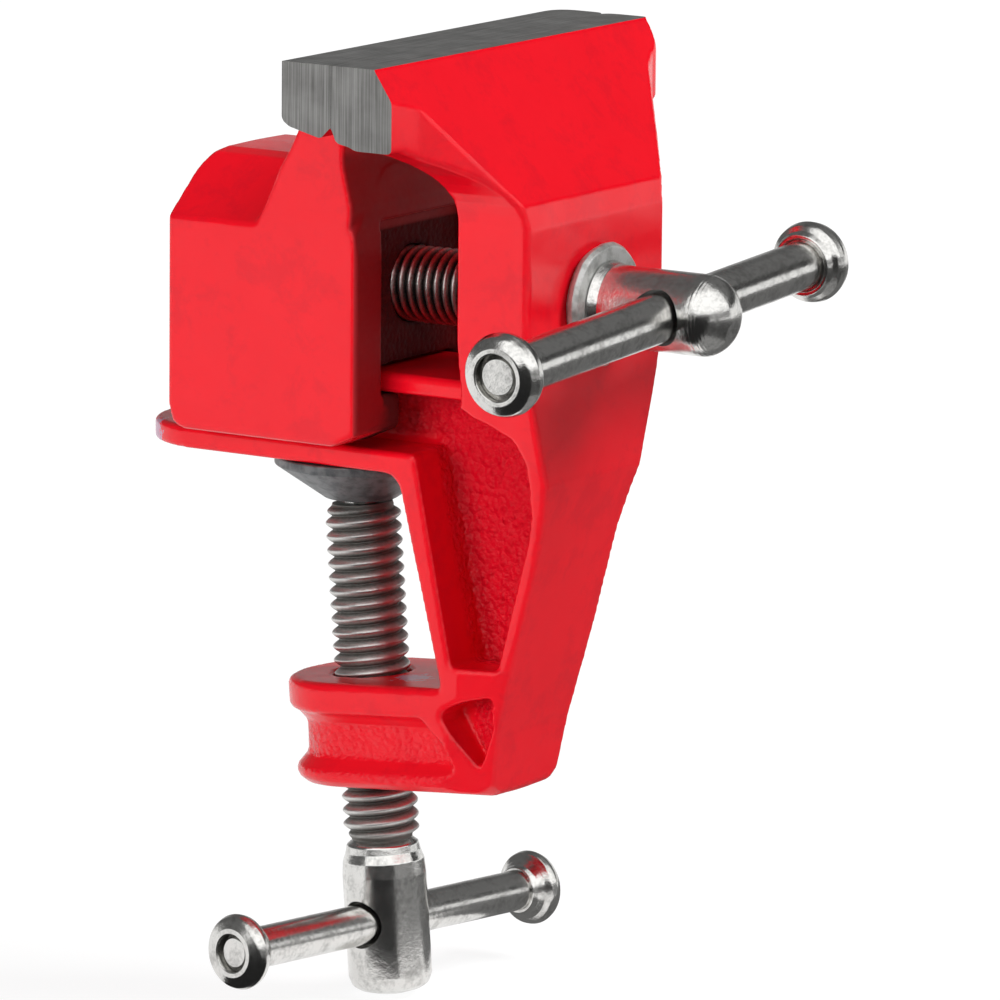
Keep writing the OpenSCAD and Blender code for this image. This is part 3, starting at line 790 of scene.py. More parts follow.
@dataclass
class Casting:
    """An iron casting: softened edges, sand grain in its hollows, bare ground faces."""

    node: str
    body: str
    name: str
    grid: float
    faces: tuple[GroundFace, ...]
    bores: tuple[Bore, ...]
    skins: tuple[Finish, ...]
    soften: int = 15
    keep: float = 0.4
    stock: float = 1.2
    draw_back: float = 0.07
    lump_scale: float = 0.6
    lump_height: float = 0.2
    lump_octaves: int = 3

    def sand(self, spot: Vector, normal: Vector) -> float:
        """Gives how coarse the cast surface is, and so how much darker red is painted there as shade.

        Args:
            spot: Point in millimetres.
            normal: Its outward direction.

        Returns:
            0 for a smooth wall, 1 for a coarse hollow.
        """
        return 0.0

    def painted_gap_shade(self, spot: Vector, normal: Vector) -> float:
        """Gives how much shade is painted on the enamel between the jaws.

        Args:
            spot: Point in millimetres.
            normal: Its outward direction.

        Returns:
            0 for none, 1 for the full painted shade.
        """
        return 0.0

    def add_stock(self, mesh: Mesh) -> None:
        """Adds stock on the faces that are ground off later.

        Args:
            mesh: Mesh of the casting.
        """
        for ground in self.faces:
            normal, point = Vector(ground.normal), Vector(ground.point)
            chosen = [f for f in mesh.faces if f.normal.dot(normal) > 0.999
                      and abs((f.calc_center_median() - point).dot(normal)) < 0.01
                      and ground.holds(f.calc_center_median())]
            made = bmesh.ops.extrude_face_region(mesh, geom=chosen)
            raised = [v for v in made["geom"] if isinstance(v, bmesh.types.BMVert)]
            bmesh.ops.translate(mesh, verts=raised, vec=normal * self.stock)
            mesh.normal_update()

    def remesh(self, mesh: Mesh) -> Mesh:
        """Rebuilds the mesh on an even grid and softens its edges.

        Args:
            mesh: Closed mesh, which is used up.

        Returns:
            The even, softened mesh.
        """
        work = as_object("even", mesh)
        add_modifier(work, "REMESH", mode="VOXEL", voxel_size=self.grid)
        add_modifier(work, "SMOOTH", factor=0.5, iterations=self.soften)
        return taken(work)

    def snap(self, mesh: Mesh, exact: BVHTree) -> None:
        """Draws points that lie close to the exact walls back onto them.

        Args:
            mesh: Softened mesh.
            exact: Tree of the exact mesh.
        """
        for vert in mesh.verts:
            hit, _, _, far = exact.find_nearest(vert.co)
            if hit is not None and far < self.draw_back:
                vert.co = vert.co.lerp(hit, 1 - (far / self.draw_back) ** 2)
            for bore in self.bores:
                vert.co = bore.keep(vert.co)

    def roughen(self, mesh: Mesh) -> None:
        """Moves points along their normals by the sand's lumps, and notes the grain and the painted
        shade.

        Args:
            mesh: Softened mesh.
        """
        mesh.normal_update()
        # The grain also places the darker red painted as shade in the hollows
        grain = mesh.verts.layers.float.new("sand")
        shade_layer = mesh.verts.layers.float.new("thin")
        moved = []
        for vert in mesh.verts:
            coarse = self.sand(vert.co, vert.normal)
            # Notes where shade is painted between the jaws
            vert[shade_layer] = self.painted_gap_shade(vert.co, vert.normal)
            if coarse > 0.01:
                vert[grain] = coarse
                lump = noise.fractal(vert.co * self.lump_scale, 0.8, 2.1, self.lump_octaves)
                moved.append((vert, vert.co + vert.normal * (lump * self.lump_height * coarse)))
        for vert, spot in moved:
            vert.co = spot

    def grind(self, mesh: Mesh) -> None:
        """Cuts the stock off flat and caps the cuts.

        Args:
            mesh: Softened mesh with its stock.
        """
        for face in mesh.faces:
            face.smooth = True
        for ground in self.faces:
            faces = [f for f in mesh.faces if ground.holds(f.calc_center_median())]
            edges = list({e for f in faces for e in f.edges})
            verts = list({v for f in faces for v in f.verts})
            bmesh.ops.bisect_plane(mesh, geom=verts + edges + faces, dist=1e-4, clear_outer=True,
                                   plane_co=ground.point, plane_no=ground.normal)
            rim = [e for e in mesh.edges if e.is_boundary]
            caps = bmesh.ops.holes_fill(mesh, edges=rim, sides=0)["faces"]
            for cap in caps:
                if cap.normal.dot(Vector(ground.normal)) < 0:
                    cap.normal_flip()
            flat = bmesh.ops.triangulate(mesh, faces=caps)["faces"]
            for face in flat:
                face.smooth = False
                face.material_index = ground.skin.value
            for edge in {e for f in flat for e in f.edges}:
                if any(f not in flat for f in edge.link_faces):
                    edge.smooth = False

    def build(self) -> Piece:
        """Makes the piece.

        Returns:
            The casting in its place.
        """
        mesh = cad_copy(self.node)
        exact = BVHTree.FromBMesh(mesh)
        self.add_stock(mesh)
        mesh = self.remesh(mesh)
        self.snap(mesh, exact)
        self.roughen(mesh)
        fine = as_object("fine", mesh)
        add_modifier(fine, "DECIMATE", ratio=self.keep)
        mesh = taken(fine)
        self.grind(mesh)
        piece = as_object(self.name, mesh, TO_METRES, [skin.build() for skin in self.skins])
        hand_over(piece, self.node, self.body, "red_enamel")
        return piece


@dataclass
class FrameCasting(Casting):
    """Frame: seat, throat, web, lower arm, rail, column and fixed jaw."""

    pocket_half: float = 5.2
    throat_x: float = 10.6
    throat_lean: float = 0.2568
    flange_x: float = 25.6
    flange_lean: float = 0.262

    def sand(self, spot: Vector, normal: Vector) -> float:
        """Gives how coarse the cast surface is, and so how much darker red is painted there as shade.

        Args:
            spot: Point in millimetres.
            normal: Its outward direction.

        Returns:
            0 for a smooth wall, 1 for a coarse hollow.
        """
        x, y, z = spot.x, abs(spot.y), spot.z
        throat = self.throat_x - z * self.throat_lean
        flange = self.flange_x + min(0.0, z) * self.flange_lean
        web = ease(y, self.pocket_half, self.pocket_half - 1.6) * ease(z, -23.5, -20.0)
        web *= ease(z, 8.4, 7.4) * ease(x, throat, throat + 2.5) * ease(x, flange, flange - 1.0)
        stem_under_rail = ease(y, 6.6, 6.0) * ease(z, 2.5, 3.5) * ease(z, 8.0, 7.4) * ease(x, 26.8, 26.2)
        heel = ease(x, 16.5, 18.0) * ease(y, 6.4, 5.4) * ease(z, -21.8, -22.8) * ease(z, -30.5, -29.5)
        heel *= ease(normal.x, 0.6, 0.3)
        waist = ease(z, -25.8, -26.8) * ease(z, -32.6, -31.6) * ease(x, 17.5, 15.5)
        waist *= ease(abs(normal.z), 0.55, 0.35)
        return max(web, 0.8 * stem_under_rail, 0.85 * heel, 0.3 * waist)


@dataclass
class MovingJawCasting(Casting):
    """Moving jaw: block, neck and jaw bar."""

    def sand(self, spot: Vector, normal: Vector) -> float:
        """Gives how coarse the cast surface is, and so how much darker red is painted there as shade.

        Args:
            spot: Point in millimetres.
            normal: Its outward direction.

        Returns:
            0 for a smooth wall, 1 for a coarse hollow.
        """
        x, y, z = spot.x, abs(spot.y), spot.z
        return 0.5 * ease(y, 8.4, 7.8) * ease(x, 8.1, 7.7) * ease(z, 24.4, 23.8) * ease(x, -14.0, -12.0)

    def painted_gap_shade(self, spot: Vector, normal: Vector) -> float:
        """Gives how much shade is painted on the enamel between the jaws.

        Args:
            spot: Point in millimetres.
            normal: Its outward direction.

        Returns:
            0 for none, 1 for the full painted shade.
        """
        # Painted shade on faces towards the fixed jaw below the jaw bar, and in full in the recess round
        # the lead screw
        front = ease(normal.x, 0.35, 0.8) * ease(spot.x, 3.0, 6.0) * ease(spot.z, 34.0, 32.0)
        recess = ease(abs(spot.y), 8.6, 8.3) * ease(spot.x, 3.0, 5.0) * ease(spot.z, 24.6, 24.1)
        return max(0.65 * front, recess)


# Turned pieces

@dataclass
class RolledThread:
    """A rolled right-hand thread, made by Geometry Nodes on the Z axis in millimetres."""

    core_radius: float
    pitch: float
    start: float
    end: float
    seed: float
    crest_radius: float = 3.9
    run_out: float = 1.1
    wear: float = 0.05
    steps: int = 88
    rows_a_turn: int = 14
    flank_power: float = 1.55

    def inputs(self, material: Material) -> dict[str, Union[float, int, Material]]:
        """Names the values that the tree takes in.

        Args:
            material: Material of the thread.

        Returns:
            The values by name.
        """
        named = {name.replace("_", " ").capitalize(): value for name, value in asdict(self).items()}
        return named | {"Crest at": self.start + self.pitch / 2, "Material": material}

    def tree(self, material: Material) -> bpy.types.NodeTree:
        """Builds the node tree of a thread.

        Args:
            material: Material of the thread.

        Returns:
            The tree, with a named input for every size.
        """
        tree = bpy.data.node_groups.new("rolled_thread", "GeometryNodeTree")
        for name, value in self.inputs(material).items():
            kind = {float: "Float", int: "Int"}.get(type(value), "Material")
            tree.interface.new_socket(name=name, in_out="INPUT", socket_type=f"NodeSocket{kind}")
        tree.interface.new_socket(name="Geometry", in_out="OUTPUT", socket_type="NodeSocketGeometry")
        given = add_node(tree, "NodeGroupInput").outputs
        calc, spread = Sketch(tree).calc, Sketch(tree).spread
        length = calc("SUBTRACT", given["End"], given["Start"])
        rows = calc("MULTIPLY", calc("DIVIDE", length, given["Pitch"]), given["Rows a turn"])
        tube = add_node(tree, "GeometryNodeMeshCylinder", {"fill_type": "NGON"}, {
            "Vertices": given["Steps"], "Side Segments": rows, "Radius": 1.0, "Depth": length})
        spot = add_node(tree, "GeometryNodeInputPosition").outputs[0]
        axes = add_node(tree, "ShaderNodeSeparateXYZ", links={"Vector": spot}).outputs
        height = calc("ADD", axes["Z"], calc("MULTIPLY_ADD", length, 0.5, given["Start"]))
        # Distance to the crest line, which climbs one pitch a turn: 0 on the crest, 1 in the root
        climb = calc("DIVIDE", calc("SUBTRACT", height, given["Crest at"]), given["Pitch"])
        angle = calc("ARCTAN2", axes["Y"], axes["X"])
        wound = calc("MULTIPLY_ADD", angle, -1 / (2 * math.pi), climb)
        away = calc("MULTIPLY", calc("PINGPONG", wound, 0.5), 2.0)
        ridge = calc("SUBTRACT", 1.0, calc("POWER", away, given["Flank power"]))
        # The ridge fades out over the run-out at either end
        first = calc("ADD", given["Start"], given["Run out"])
        last = calc("SUBTRACT", given["End"], given["Run out"])
        ends = calc("MULTIPLY", spread(height, (given["Start"], first), style="SMOOTHSTEP"),
                    spread(height, (given["End"], last), style="SMOOTHSTEP"))
        full = calc("MULTIPLY", ridge, ends)
        depth = calc("SUBTRACT", given["Crest radius"], given["Core radius"])
        radius = calc("MULTIPLY_ADD", full, depth, given["Core radius"])
        dents = add_node(tree, "ShaderNodeTexNoise", {"noise_dimensions": "4D"}, {
            "Vector": spot, "W": given["Seed"], "Scale": 1.6, "Detail": 3.0}).outputs[0]
        worn = calc("MULTIPLY_ADD", calc("MULTIPLY_ADD", dents, -1.0, 0.35), given["Wear"], radius)
        flat = add_node(tree, "ShaderNodeCombineXYZ", links={"X": axes["X"], "Y": axes["Y"]}).outputs[0]
        spoke = add_node(tree, "ShaderNodeVectorMath", {"operation": "SCALE"}, {
            0: flat, "Scale": worn}).outputs[0]
        lift = add_node(tree, "ShaderNodeCombineXYZ", links={"Z": height}).outputs[0]
        moved = add_node(tree, "ShaderNodeVectorMath", {"operation": "ADD"}, {0: spoke, 1: lift})
        kept = add_node(tree, "GeometryNodeStoreNamedAttribute", {
            "data_type": "FLOAT", "domain": "POINT"}, {
            "Geometry": tube.outputs["Mesh"], "Name": "groove", "Value": calc("SUBTRACT", 1.0, full)})
        shaped = add_node(tree, "GeometryNodeSetPosition", links={
            "Geometry": kept.outputs["Geometry"], "Position": moved.outputs[0]})
        shaded = add_node(tree, "GeometryNodeSetShadeSmooth", links={
            "Geometry": shaped.outputs["Geometry"], "Selection": tube.outputs["Side"]})
        coated = add_node(tree, "GeometryNodeSetMaterial", links={
            "Geometry": shaded.outputs["Geometry"], "Material": given["Material"]})
        add_node(tree, "NodeGroupOutput", links={"Geometry": coated.outputs["Geometry"]})
        return tree

    def mesh(self, material: Material) -> Mesh:
        """Runs the tree once and takes its mesh.

        Args:
            material: Material of the thread.

        Returns:
            The closed thread in millimetres.
        """
        work = as_object("thread", bmesh.new())
        tree = self.tree(material)
        maker = add_modifier(work, "NODES", node_group=tree)
        values = self.inputs(material)
        for item in tree.interface.items_tree:
            if item.in_out == "INPUT":
                maker[item.identifier] = values[item.name]
        result = taken(work)
        bpy.data.node_groups.remove(tree)
        return result


def drilled(body: Mesh, radius: float, place: Matrix, reach: float = 12.0) -> Mesh:
    """Drills a cross hole through a turned body.

    Args:
        body: Closed body, which is used up.
        radius: Radius of the hole.
        place: Placement of the hole's axis on Z.
        reach: Half the length of the drill.

    Returns:
        The body with its hole.
    """
    drill = revolve([(0, -reach), (radius, -reach), (radius, reach), (0, reach)], 72)
    tool = as_object("drill", drill, place)
    work = as_object("body", body)
    add_modifier(work, "BOOLEAN", operation="DIFFERENCE", solver="EXACT", object=tool)
    result = taken(work)
    discard(tool)
    bmesh.ops.remove_doubles(result, verts=result.verts, dist=1e-4)
    mark_edges(result)
    return result


@dataclass
class Screw:
    """A steel screw: a rolled thread and the turned parts on its axis."""

    node: str
    core: float
    pitch: float
    start: float
    thread_end: float
    seed: float

    def place(self) -> Matrix:
        """Gives the screw's placement, with local Z along the screw.

        Returns:
            The placement in millimetres.
        """
        raise NotImplementedError

    def turned_parts(self) -> list[Mesh]:
        """Turns what the thread doesn't cover.

        Returns:
            The parts on the Z axis.
        """
        raise NotImplementedError

    def build(self, thread: Finish, plate: Finish) -> Piece:
        """Makes the piece.

        Args:
            thread: Finish of the thread.
            plate: Finish of the turned parts.

        Returns:
            The screw in its place.
        """
        materials = [thread.build(), plate.build()]
        rolled = RolledThread(self.core, self.pitch, self.start, self.thread_end, self.seed)
        parts = [(rolled.mesh(materials[0]), 0)] + [(part, 1) for part in self.turned_parts()]
        piece = joined(f"{self.node}_turned", parts, self.place(), materials)
        hand_over(piece, self.node, self.node, "plated_steel")
        return piece


@dataclass
class LeadScrew(Screw):
    """Lead screw: rolled thread, shank with the clip's groove, collar, domed boss with a cross hole."""

    node: str = "lead_screw"
    core: float = 3.25
    pitch: float = 1.058
    start: float = -17.54
    thread_end: float = 16.15
    seed: float = 7.0
    axis_z: float = 18.0
    shank_r: float = 3.93
    groove: Span = (17.7, 18.55)
    groove_r: float = 2.95
    collar_x: float = 29.7
    collar_r: float = 4.5
    boss_r: float = 4.1
    boss_end: float = 44.4
    dome: float = 3.6
    dome_drop: float = 3.65
    ring_depth: float = 0.025
    flat_r: float = 1.15
    flat_lean: float = 18.0
    hole_x: float = 37.3
    hole_r: float = 2.85
    tilt: float = 3.8

    def place(self) -> Matrix:
        """Gives the screw's placement, level along +X.

        Returns:
            The placement in millimetres.
        """
        return Matrix.Translation((0, 0, self.axis_z)) @ Matrix.Rotation(math.radians(90), 4, "Y")

    def bar_place(self, shift: float = 0.0) -> Matrix:
        """Gives the bar's placement in the cross hole, with local Z towards its far end.

        Args:
            shift: How far the bar stands out of the middle.

        Returns:
            The placement in millimetres.
        """
        return (Matrix.Translation((self.hole_x, 0, self.axis_z))
                @ Matrix.Rotation(math.radians(self.tilt - 90), 4, "X")
                @ Matrix.Translation((0, 0, shift)))

    def dome_outline(self) -> list[Span]:
        """Draws the dome, with the lathe tool's rings near its edge and a faced-off flat at its tip.

        Returns:
            Points of radius and height up to the pole.
        """
        outline = []
        for degrees in range(6, 77, 2):
            a = math.radians(degrees)
            ring = self.ring_depth * math.sin(degrees * 1.1) * ease(degrees, 40, 22)
            outline.append(((self.boss_r - ring) * math.cos(a),
                            self.boss_end - self.dome_drop + self.dome * math.sin(a)))
        return outline + [(0.5, self.boss_end - 0.06), (0, self.boss_end - 0.05)]

    def turned_parts(self) -> list[Mesh]:
        """Turns the shank, collar and boss, and drills the cross hole.

        Returns:
            One body on the Z axis.
        """
        low, high = self.groove
        outline = rounded([
            (0, self.thread_end - 0.5), (self.core - 0.05, self.thread_end - 0.5),
            (self.shank_r, self.thread_end + 0.75, 0.3), (self.shank_r, low, 0.08),
            (self.groove_r, low, 0.1), (self.groove_r, high, 0.1), (self.shank_r, high, 0.08),
            (self.shank_r, self.collar_x), (self.collar_r, self.collar_x, 0.04),
            (self.collar_r - 0.08, self.collar_x + 0.25, 0.15),
            (self.boss_r + 0.08, self.collar_x + 1.0, 0.6), (self.boss_r, self.collar_x + 2.2)])
        outline += [(self.boss_r, self.boss_end - 4.2), (self.boss_r, self.boss_end - self.dome)]
        body = revolve(outline + self.dome_outline(), 144)
        self.file_tip(body)
        return [drilled(body, self.hole_r, self.place().inverted() @ self.bar_place())]

    def file_tip(self, body: Mesh) -> None:
        """Files a small flat on the dome, a little below its tip.

        Args:
            body: Turned body on the Z axis, whose local +X side ends up below.
        """
        centre = Vector((0, 0, self.boss_end - self.dome_drop))
        lean = math.radians(self.flat_lean)
        normal = Vector((math.sin(lean), 0, math.cos(lean)))
        plane = math.sqrt((self.dome + 0.1) ** 2 - self.flat_r ** 2)
        for vert in body.verts:
            over = (vert.co - centre).dot(normal) - plane
            if over > 0:
                vert.co -= normal * over


@dataclass
class ClampScrew(Screw):
    """Clamp screw: riveted head, neck, rolled thread, plain boss with a cross hole."""

    node: str = "clamp_screw"
    core: float = 3.1
    pitch: float = 1.411
    start: float = 2.7
    thread_end: float = 37.4
    seed: float = 11.0
    pivot_z: float = -2.4
    lean: float = 4.5
    head: float = 0.945
    head_r: float = 3.0
    head_t: float = 0.56
    neck_r: float = 2.0
    boss_r: float = 4.3
    boss_start: float = 39.1
    boss_end: float = 53.4
    hole_z: float = 45.9
    hole_r: float = 2.45
    bar_turn: float = 8.5
    bar_dip: float = 1.5

    def place(self) -> Matrix:
        """Gives the screw's placement, leaning and head up, with local Z downwards.

        Returns:
            The placement in millimetres.
        """
        return (Matrix.Translation((0, 0, self.pivot_z))
                @ Matrix.Rotation(math.radians(180 - self.lean), 4, "Y"))

    def bar_place(self) -> Matrix:
        """Gives the bar's placement in the cross hole, with local Z towards its far end.

        Returns:
            The placement in millimetres.
        """
        return (self.place() @ Matrix.Translation((0, 0, self.hole_z))
                @ Matrix.Rotation(math.radians(self.bar_turn), 4, "Z")
                @ Matrix.Rotation(math.radians(self.bar_dip - 90), 4, "X"))

    def turned_parts(self) -> list[Mesh]:
        """Turns the boss with its cross hole, and the neck with its riveted head.

        Returns:
            Both bodies on the Z axis.
        """
        inside, face = self.core - 0.05, self.boss_end - 0.04
        outline = rounded([
            (0, self.thread_end - 0.6), (inside, self.thread_end - 0.6), (inside, self.thread_end, 0.2),
            (3.7, self.thread_end + 0.5, 0.4), (3.85, self.thread_end + 1.3, 0.5),
            (self.boss_r - 0.12, self.boss_start + 0.5, 0.6), (self.boss_r, self.boss_start + 2.0, 1.0),
            (self.boss_r, self.boss_end - 1.9, 0.9), (self.boss_r - 0.35, self.boss_end - 0.85, 0.9),
            (self.boss_r - 1.1, self.boss_end - 0.4, 0.7), (self.boss_r - 2.4, face, 0.4), (0, face)])
        hole = self.place().inverted() @ self.bar_place()
        boss = drilled(revolve(outline, 144), self.hole_r, hole)
        top, rim, foot = -self.head - self.head_t, self.head_r - 0.02, self.start + 0.3
        rivet = revolve(rounded([
            (0, top), (self.head_r - 0.4, top, 0.15), (rim, -self.head - 0.3, 0.15),
            (rim, -self.head, 0.08), (self.neck_r, -self.head, 0.1),
            (self.neck_r, foot), (0, foot)]), 72)
        mark_edges(rivet)
        return [boss, rivet]


@dataclass
class LoosePiece:
    """A piece in one material that stands for one CAD node, named after it and how it is made."""

    node: str
    body: str
    made: str
    slot: str

    def shape(self) -> Mesh:
        """Makes the piece's mesh.

        Returns:
            The closed mesh in millimetres, before its placement.
        """
        raise NotImplementedError

    def build(self, material: Material, place: Matrix = STILL) -> Piece:
        """Makes the piece.

        Args:
            material: Its material.
            place: Its placement in millimetres.

        Returns:
            The piece in its place.
        """
        piece = joined(f"{self.node}_{self.made}", [(self.shape(), 0)], place, [material])
        hand_over(piece, self.node, self.body, self.slot)
        return piece


@dataclass
class Rod(LoosePiece):
    """A plain bar with chamfered ends, recessed in the rings at its ends."""

    radius: float
    span: float
    face_part: float = 0.72

    def shape(self) -> Mesh:
        """Turns the bar.

        Returns:
            The closed mesh on the Z axis.
        """
        end, r, face = self.span / 2, self.radius, self.radius * self.face_part
        half = [(r, end - 0.6, 0.15), (face + 0.12, end - 0.3, 0.1), (face, end, 0.12), (0, end)]
        mirrored = [(point[0], -point[1], *point[2:]) for point in reversed(half)]
        body = revolve(rounded(mirrored + [(r, 0)] + half), 72)
        mark_edges(body)
        return body


@dataclass
class EndRing(LoosePiece):
    """A ring with an inward lip, pressed on one end of a bar."""

    outline: Sequence[ProfilePoint]
    away: float
    turn: float

    def shape(self) -> Mesh:
        """Turns the ring.

        Returns:
            The closed mesh round the Z axis, at its end of the bar.
        """
        body = revolve(rounded(self.outline, closed=True), 96, ring=True)
        place = Matrix.Rotation(self.turn, 4, "X") @ Matrix.Translation((0, 0, self.away))
        bmesh.ops.transform(body, matrix=place, verts=body.verts)
        mark_edges(body)
        return body


@dataclass
class SlidingBar:
    """A bar that slides in a cross hole, with a ring pressed on each end."""

    node: str
    place: Matrix
    radius: float
    span: float
    cap_t: float
    cap_outline: Sequence[ProfilePoint]
    recess: float = 0.5

    def build(self, finish: Finish) -> list[Piece]:
        """Makes the bar and its rings.

        Args:
            finish: Finish of the three pieces.

        Returns:
            The pieces in their places.
        """
        length = self.span + self.cap_t - 2 * self.recess
        pieces = [Rod(self.node, self.node, "rod", "plated_steel", self.radius, length)]
        for side, turn in (("near", math.pi), ("far", 0.0)):
            pieces.append(EndRing(f"{self.node}_cap_{side}", self.node, "ring", "plated_steel",
                                  self.cap_outline, self.span / 2, turn))
        material = finish.build()
        return [piece.build(material, self.place) for piece in pieces]


@dataclass
class StampedWasher(LoosePiece):
    """A washer blanked from strip: a rolled-over edge on one side, a torn burr on the other."""

    outer: float
    low: float
    high: float
    ragged: float
    seed: float
    inner: float = 4.0

    def shape(self) -> Mesh:
        """Blanks the washer.

        Returns:
            The closed mesh round the Z axis.
        """
        top = self.high - 0.02
        outline = rounded([
            (self.inner, self.low, 0.12), (self.outer - 0.6, self.low, 0.2),
            (self.outer - 0.12, self.low + 0.5, 0.3), (self.outer, self.high - 0.5, 0.25),
            (self.outer - 0.35, top, 0.3), (self.inner, top, 0.2)], closed=True)
        body = revolve(outline, 144, ring=True)
        for vert in body.verts:
            reach = math.hypot(vert.co.x, vert.co.y)
            out = ease(reach, self.inner + 1.2, self.outer)
            ring = Vector((vert.co.x, vert.co.y, 0)).normalized()
            wave = noise.noise(ring * 1.7 + Vector((self.seed, 0, 0)))
            nick = noise.noise(ring * 5.0 + Vector((0, self.seed, 0)))
            vert.co -= ring * (self.ragged * (abs(wave) * 1.1 + max(0.0, nick - 0.15) * 0.5) * out)
        mark_edges(body, 50)
        return body


@dataclass
class RetainingClip(LoosePiece):
    """A spring clip sheared from strip, with rounded edges."""

    edge: float = 0.1

    def shape(self) -> Mesh:
        """Rounds the edges of the CAD outline.

        Returns:
            The closed mesh in its place.
        """
        mesh = cad_copy(self.node)
        bmesh.ops.dissolve_limit(mesh, angle_limit=math.radians(1), verts=mesh.verts, edges=mesh.edges)
        rims = [e for e in mesh.edges if e.calc_face_angle(0.0) > math.radians(60)]
        bmesh.ops.bevel(mesh, geom=rims, offset=self.edge, segments=3, profile=0.5, affect="EDGES")
        mark_edges(mesh)
        return mesh


@dataclass
class SwivelPad(LoosePiece):
    """A turned cone with a hollow face that swivels on the clamp screw's head."""

    top: float = -0.15
    height: float = 4.4
    radius: float = 8.8
    foot_r: float = 3.7
    rim: float = 0.9
    hole_r: float = 2.25
    hollow: float = 1.6
    hollow_r: float = 4.0

    def shape(self) -> Mesh:
        """Turns the pad.

        Returns:
            The closed mesh in its place.
        """
        foot, floor = self.top - self.height, self.top - self.hollow
        outline = rounded([
            (self.hole_r, foot, 0.15), (self.foot_r, foot, 0.3),
            (self.radius, self.top - self.rim, 0.25), (self.radius, self.top, 0.2),
            (self.radius - 1.4, self.top, 0.15), (self.radius - 2.0, self.top - 0.7, 0.3),
            (self.hollow_r, floor, 0.3), (self.hole_r, floor, 0.1)], closed=True)
        body = revolve(outline, 144, ring=True)
        mark_edges(body)
        return body


# Studio

@dataclass(frozen=True)
class Card:
    """A card or cloth that only reflections see, swept round the vertical axis."""

    name: str
    azimuth: Span
    rows: Sequence[Span]
    level: float
    columns: int = 24

    def cloth(self) -> Material:
        """Makes the card's cloth, which reflections see at one even grey level.

        Returns:
            The material.
        """
        material = bpy.data.materials.new(f"{self.name}_cloth")
        tree = cleared(material)
        glow = add_node(tree, "ShaderNodeEmission", links={
            "Color": (self.level, self.level, self.level, 1.0), "Strength": 1.0})
        add_node(tree, "ShaderNodeOutputMaterial", links={"Surface": glow.outputs["Emission"]})
        return material

    def build(self) -> Piece:
        """Makes the card.

        Returns:
            The card, hidden from the camera and from diffuse light.
        """
        mesh = bmesh.new()
        first, last = self.azimuth
        turns = [math.radians(first + (last - first) * i / self.columns)
                 for i in range(self.columns + 1)]
        grid = [[mesh.verts.new((reach * math.cos(turn), reach * math.sin(turn), height))
                 for turn in turns] for reach, height in self.rows]
        for low, high in zip(grid, grid[1:]):
            for i in range(self.columns):
                mesh.faces.new((low[i], low[i + 1], high[i + 1], high[i]))
        card = as_object(self.name, mesh, materials=[self.cloth()])
        card.visible_camera = False
        card.visible_diffuse = False
        card.visible_shadow = False
        return card


def dome_rows(low: float, high: float, distance: float = 1.1, count: int = 10) -> list[Span]:
    """Lays out a card's rows on a sphere round the vise.

    Args:
        low: Height of the lowest row in degrees.
        high: Height of the highest row in degrees.
        distance: Radius of the sphere in metres.
        count: Faces from the lowest row to the highest.

    Returns:
        Distance from the axis and height of each row in metres.
    """
    tilts = [math.radians(low + (high - low) * j / count) for j in range(count + 1)]
    return [(distance * math.cos(tilt), distance * math.sin(tilt)) for tilt in tilts]


@dataclass(frozen=True)
class Softbox:
    """A square soft lamp aimed at the vise, for diffuse light only: cards make the reflections."""

    name: str
    azimuth: float
    height: float
    power: float
    distance: float = 0.9
    size: float = 0.4

    def build(self) -> Piece:
        """Makes the lamp.

        Returns:
            The lamp, in its place and aimed.
        """
        data = bpy.data.lights.new(self.name, "AREA")
        data.shape = "SQUARE"
        data.size = self.size
        data.energy = self.power
        lamp = bpy.data.objects.new(self.name, data)
        turn, tilt = math.radians(self.azimuth), math.radians(self.height)
        away = Vector((math.cos(turn) * math.cos(tilt), math.sin(turn) * math.cos(tilt), math.sin(tilt)))
        lamp.location = away * self.distance
        lamp.rotation_euler = away.to_track_quat("Z", "Y").to_euler()
        lamp.visible_glossy = False
        bpy.context.scene.collection.objects.link(lamp)
        return lamp


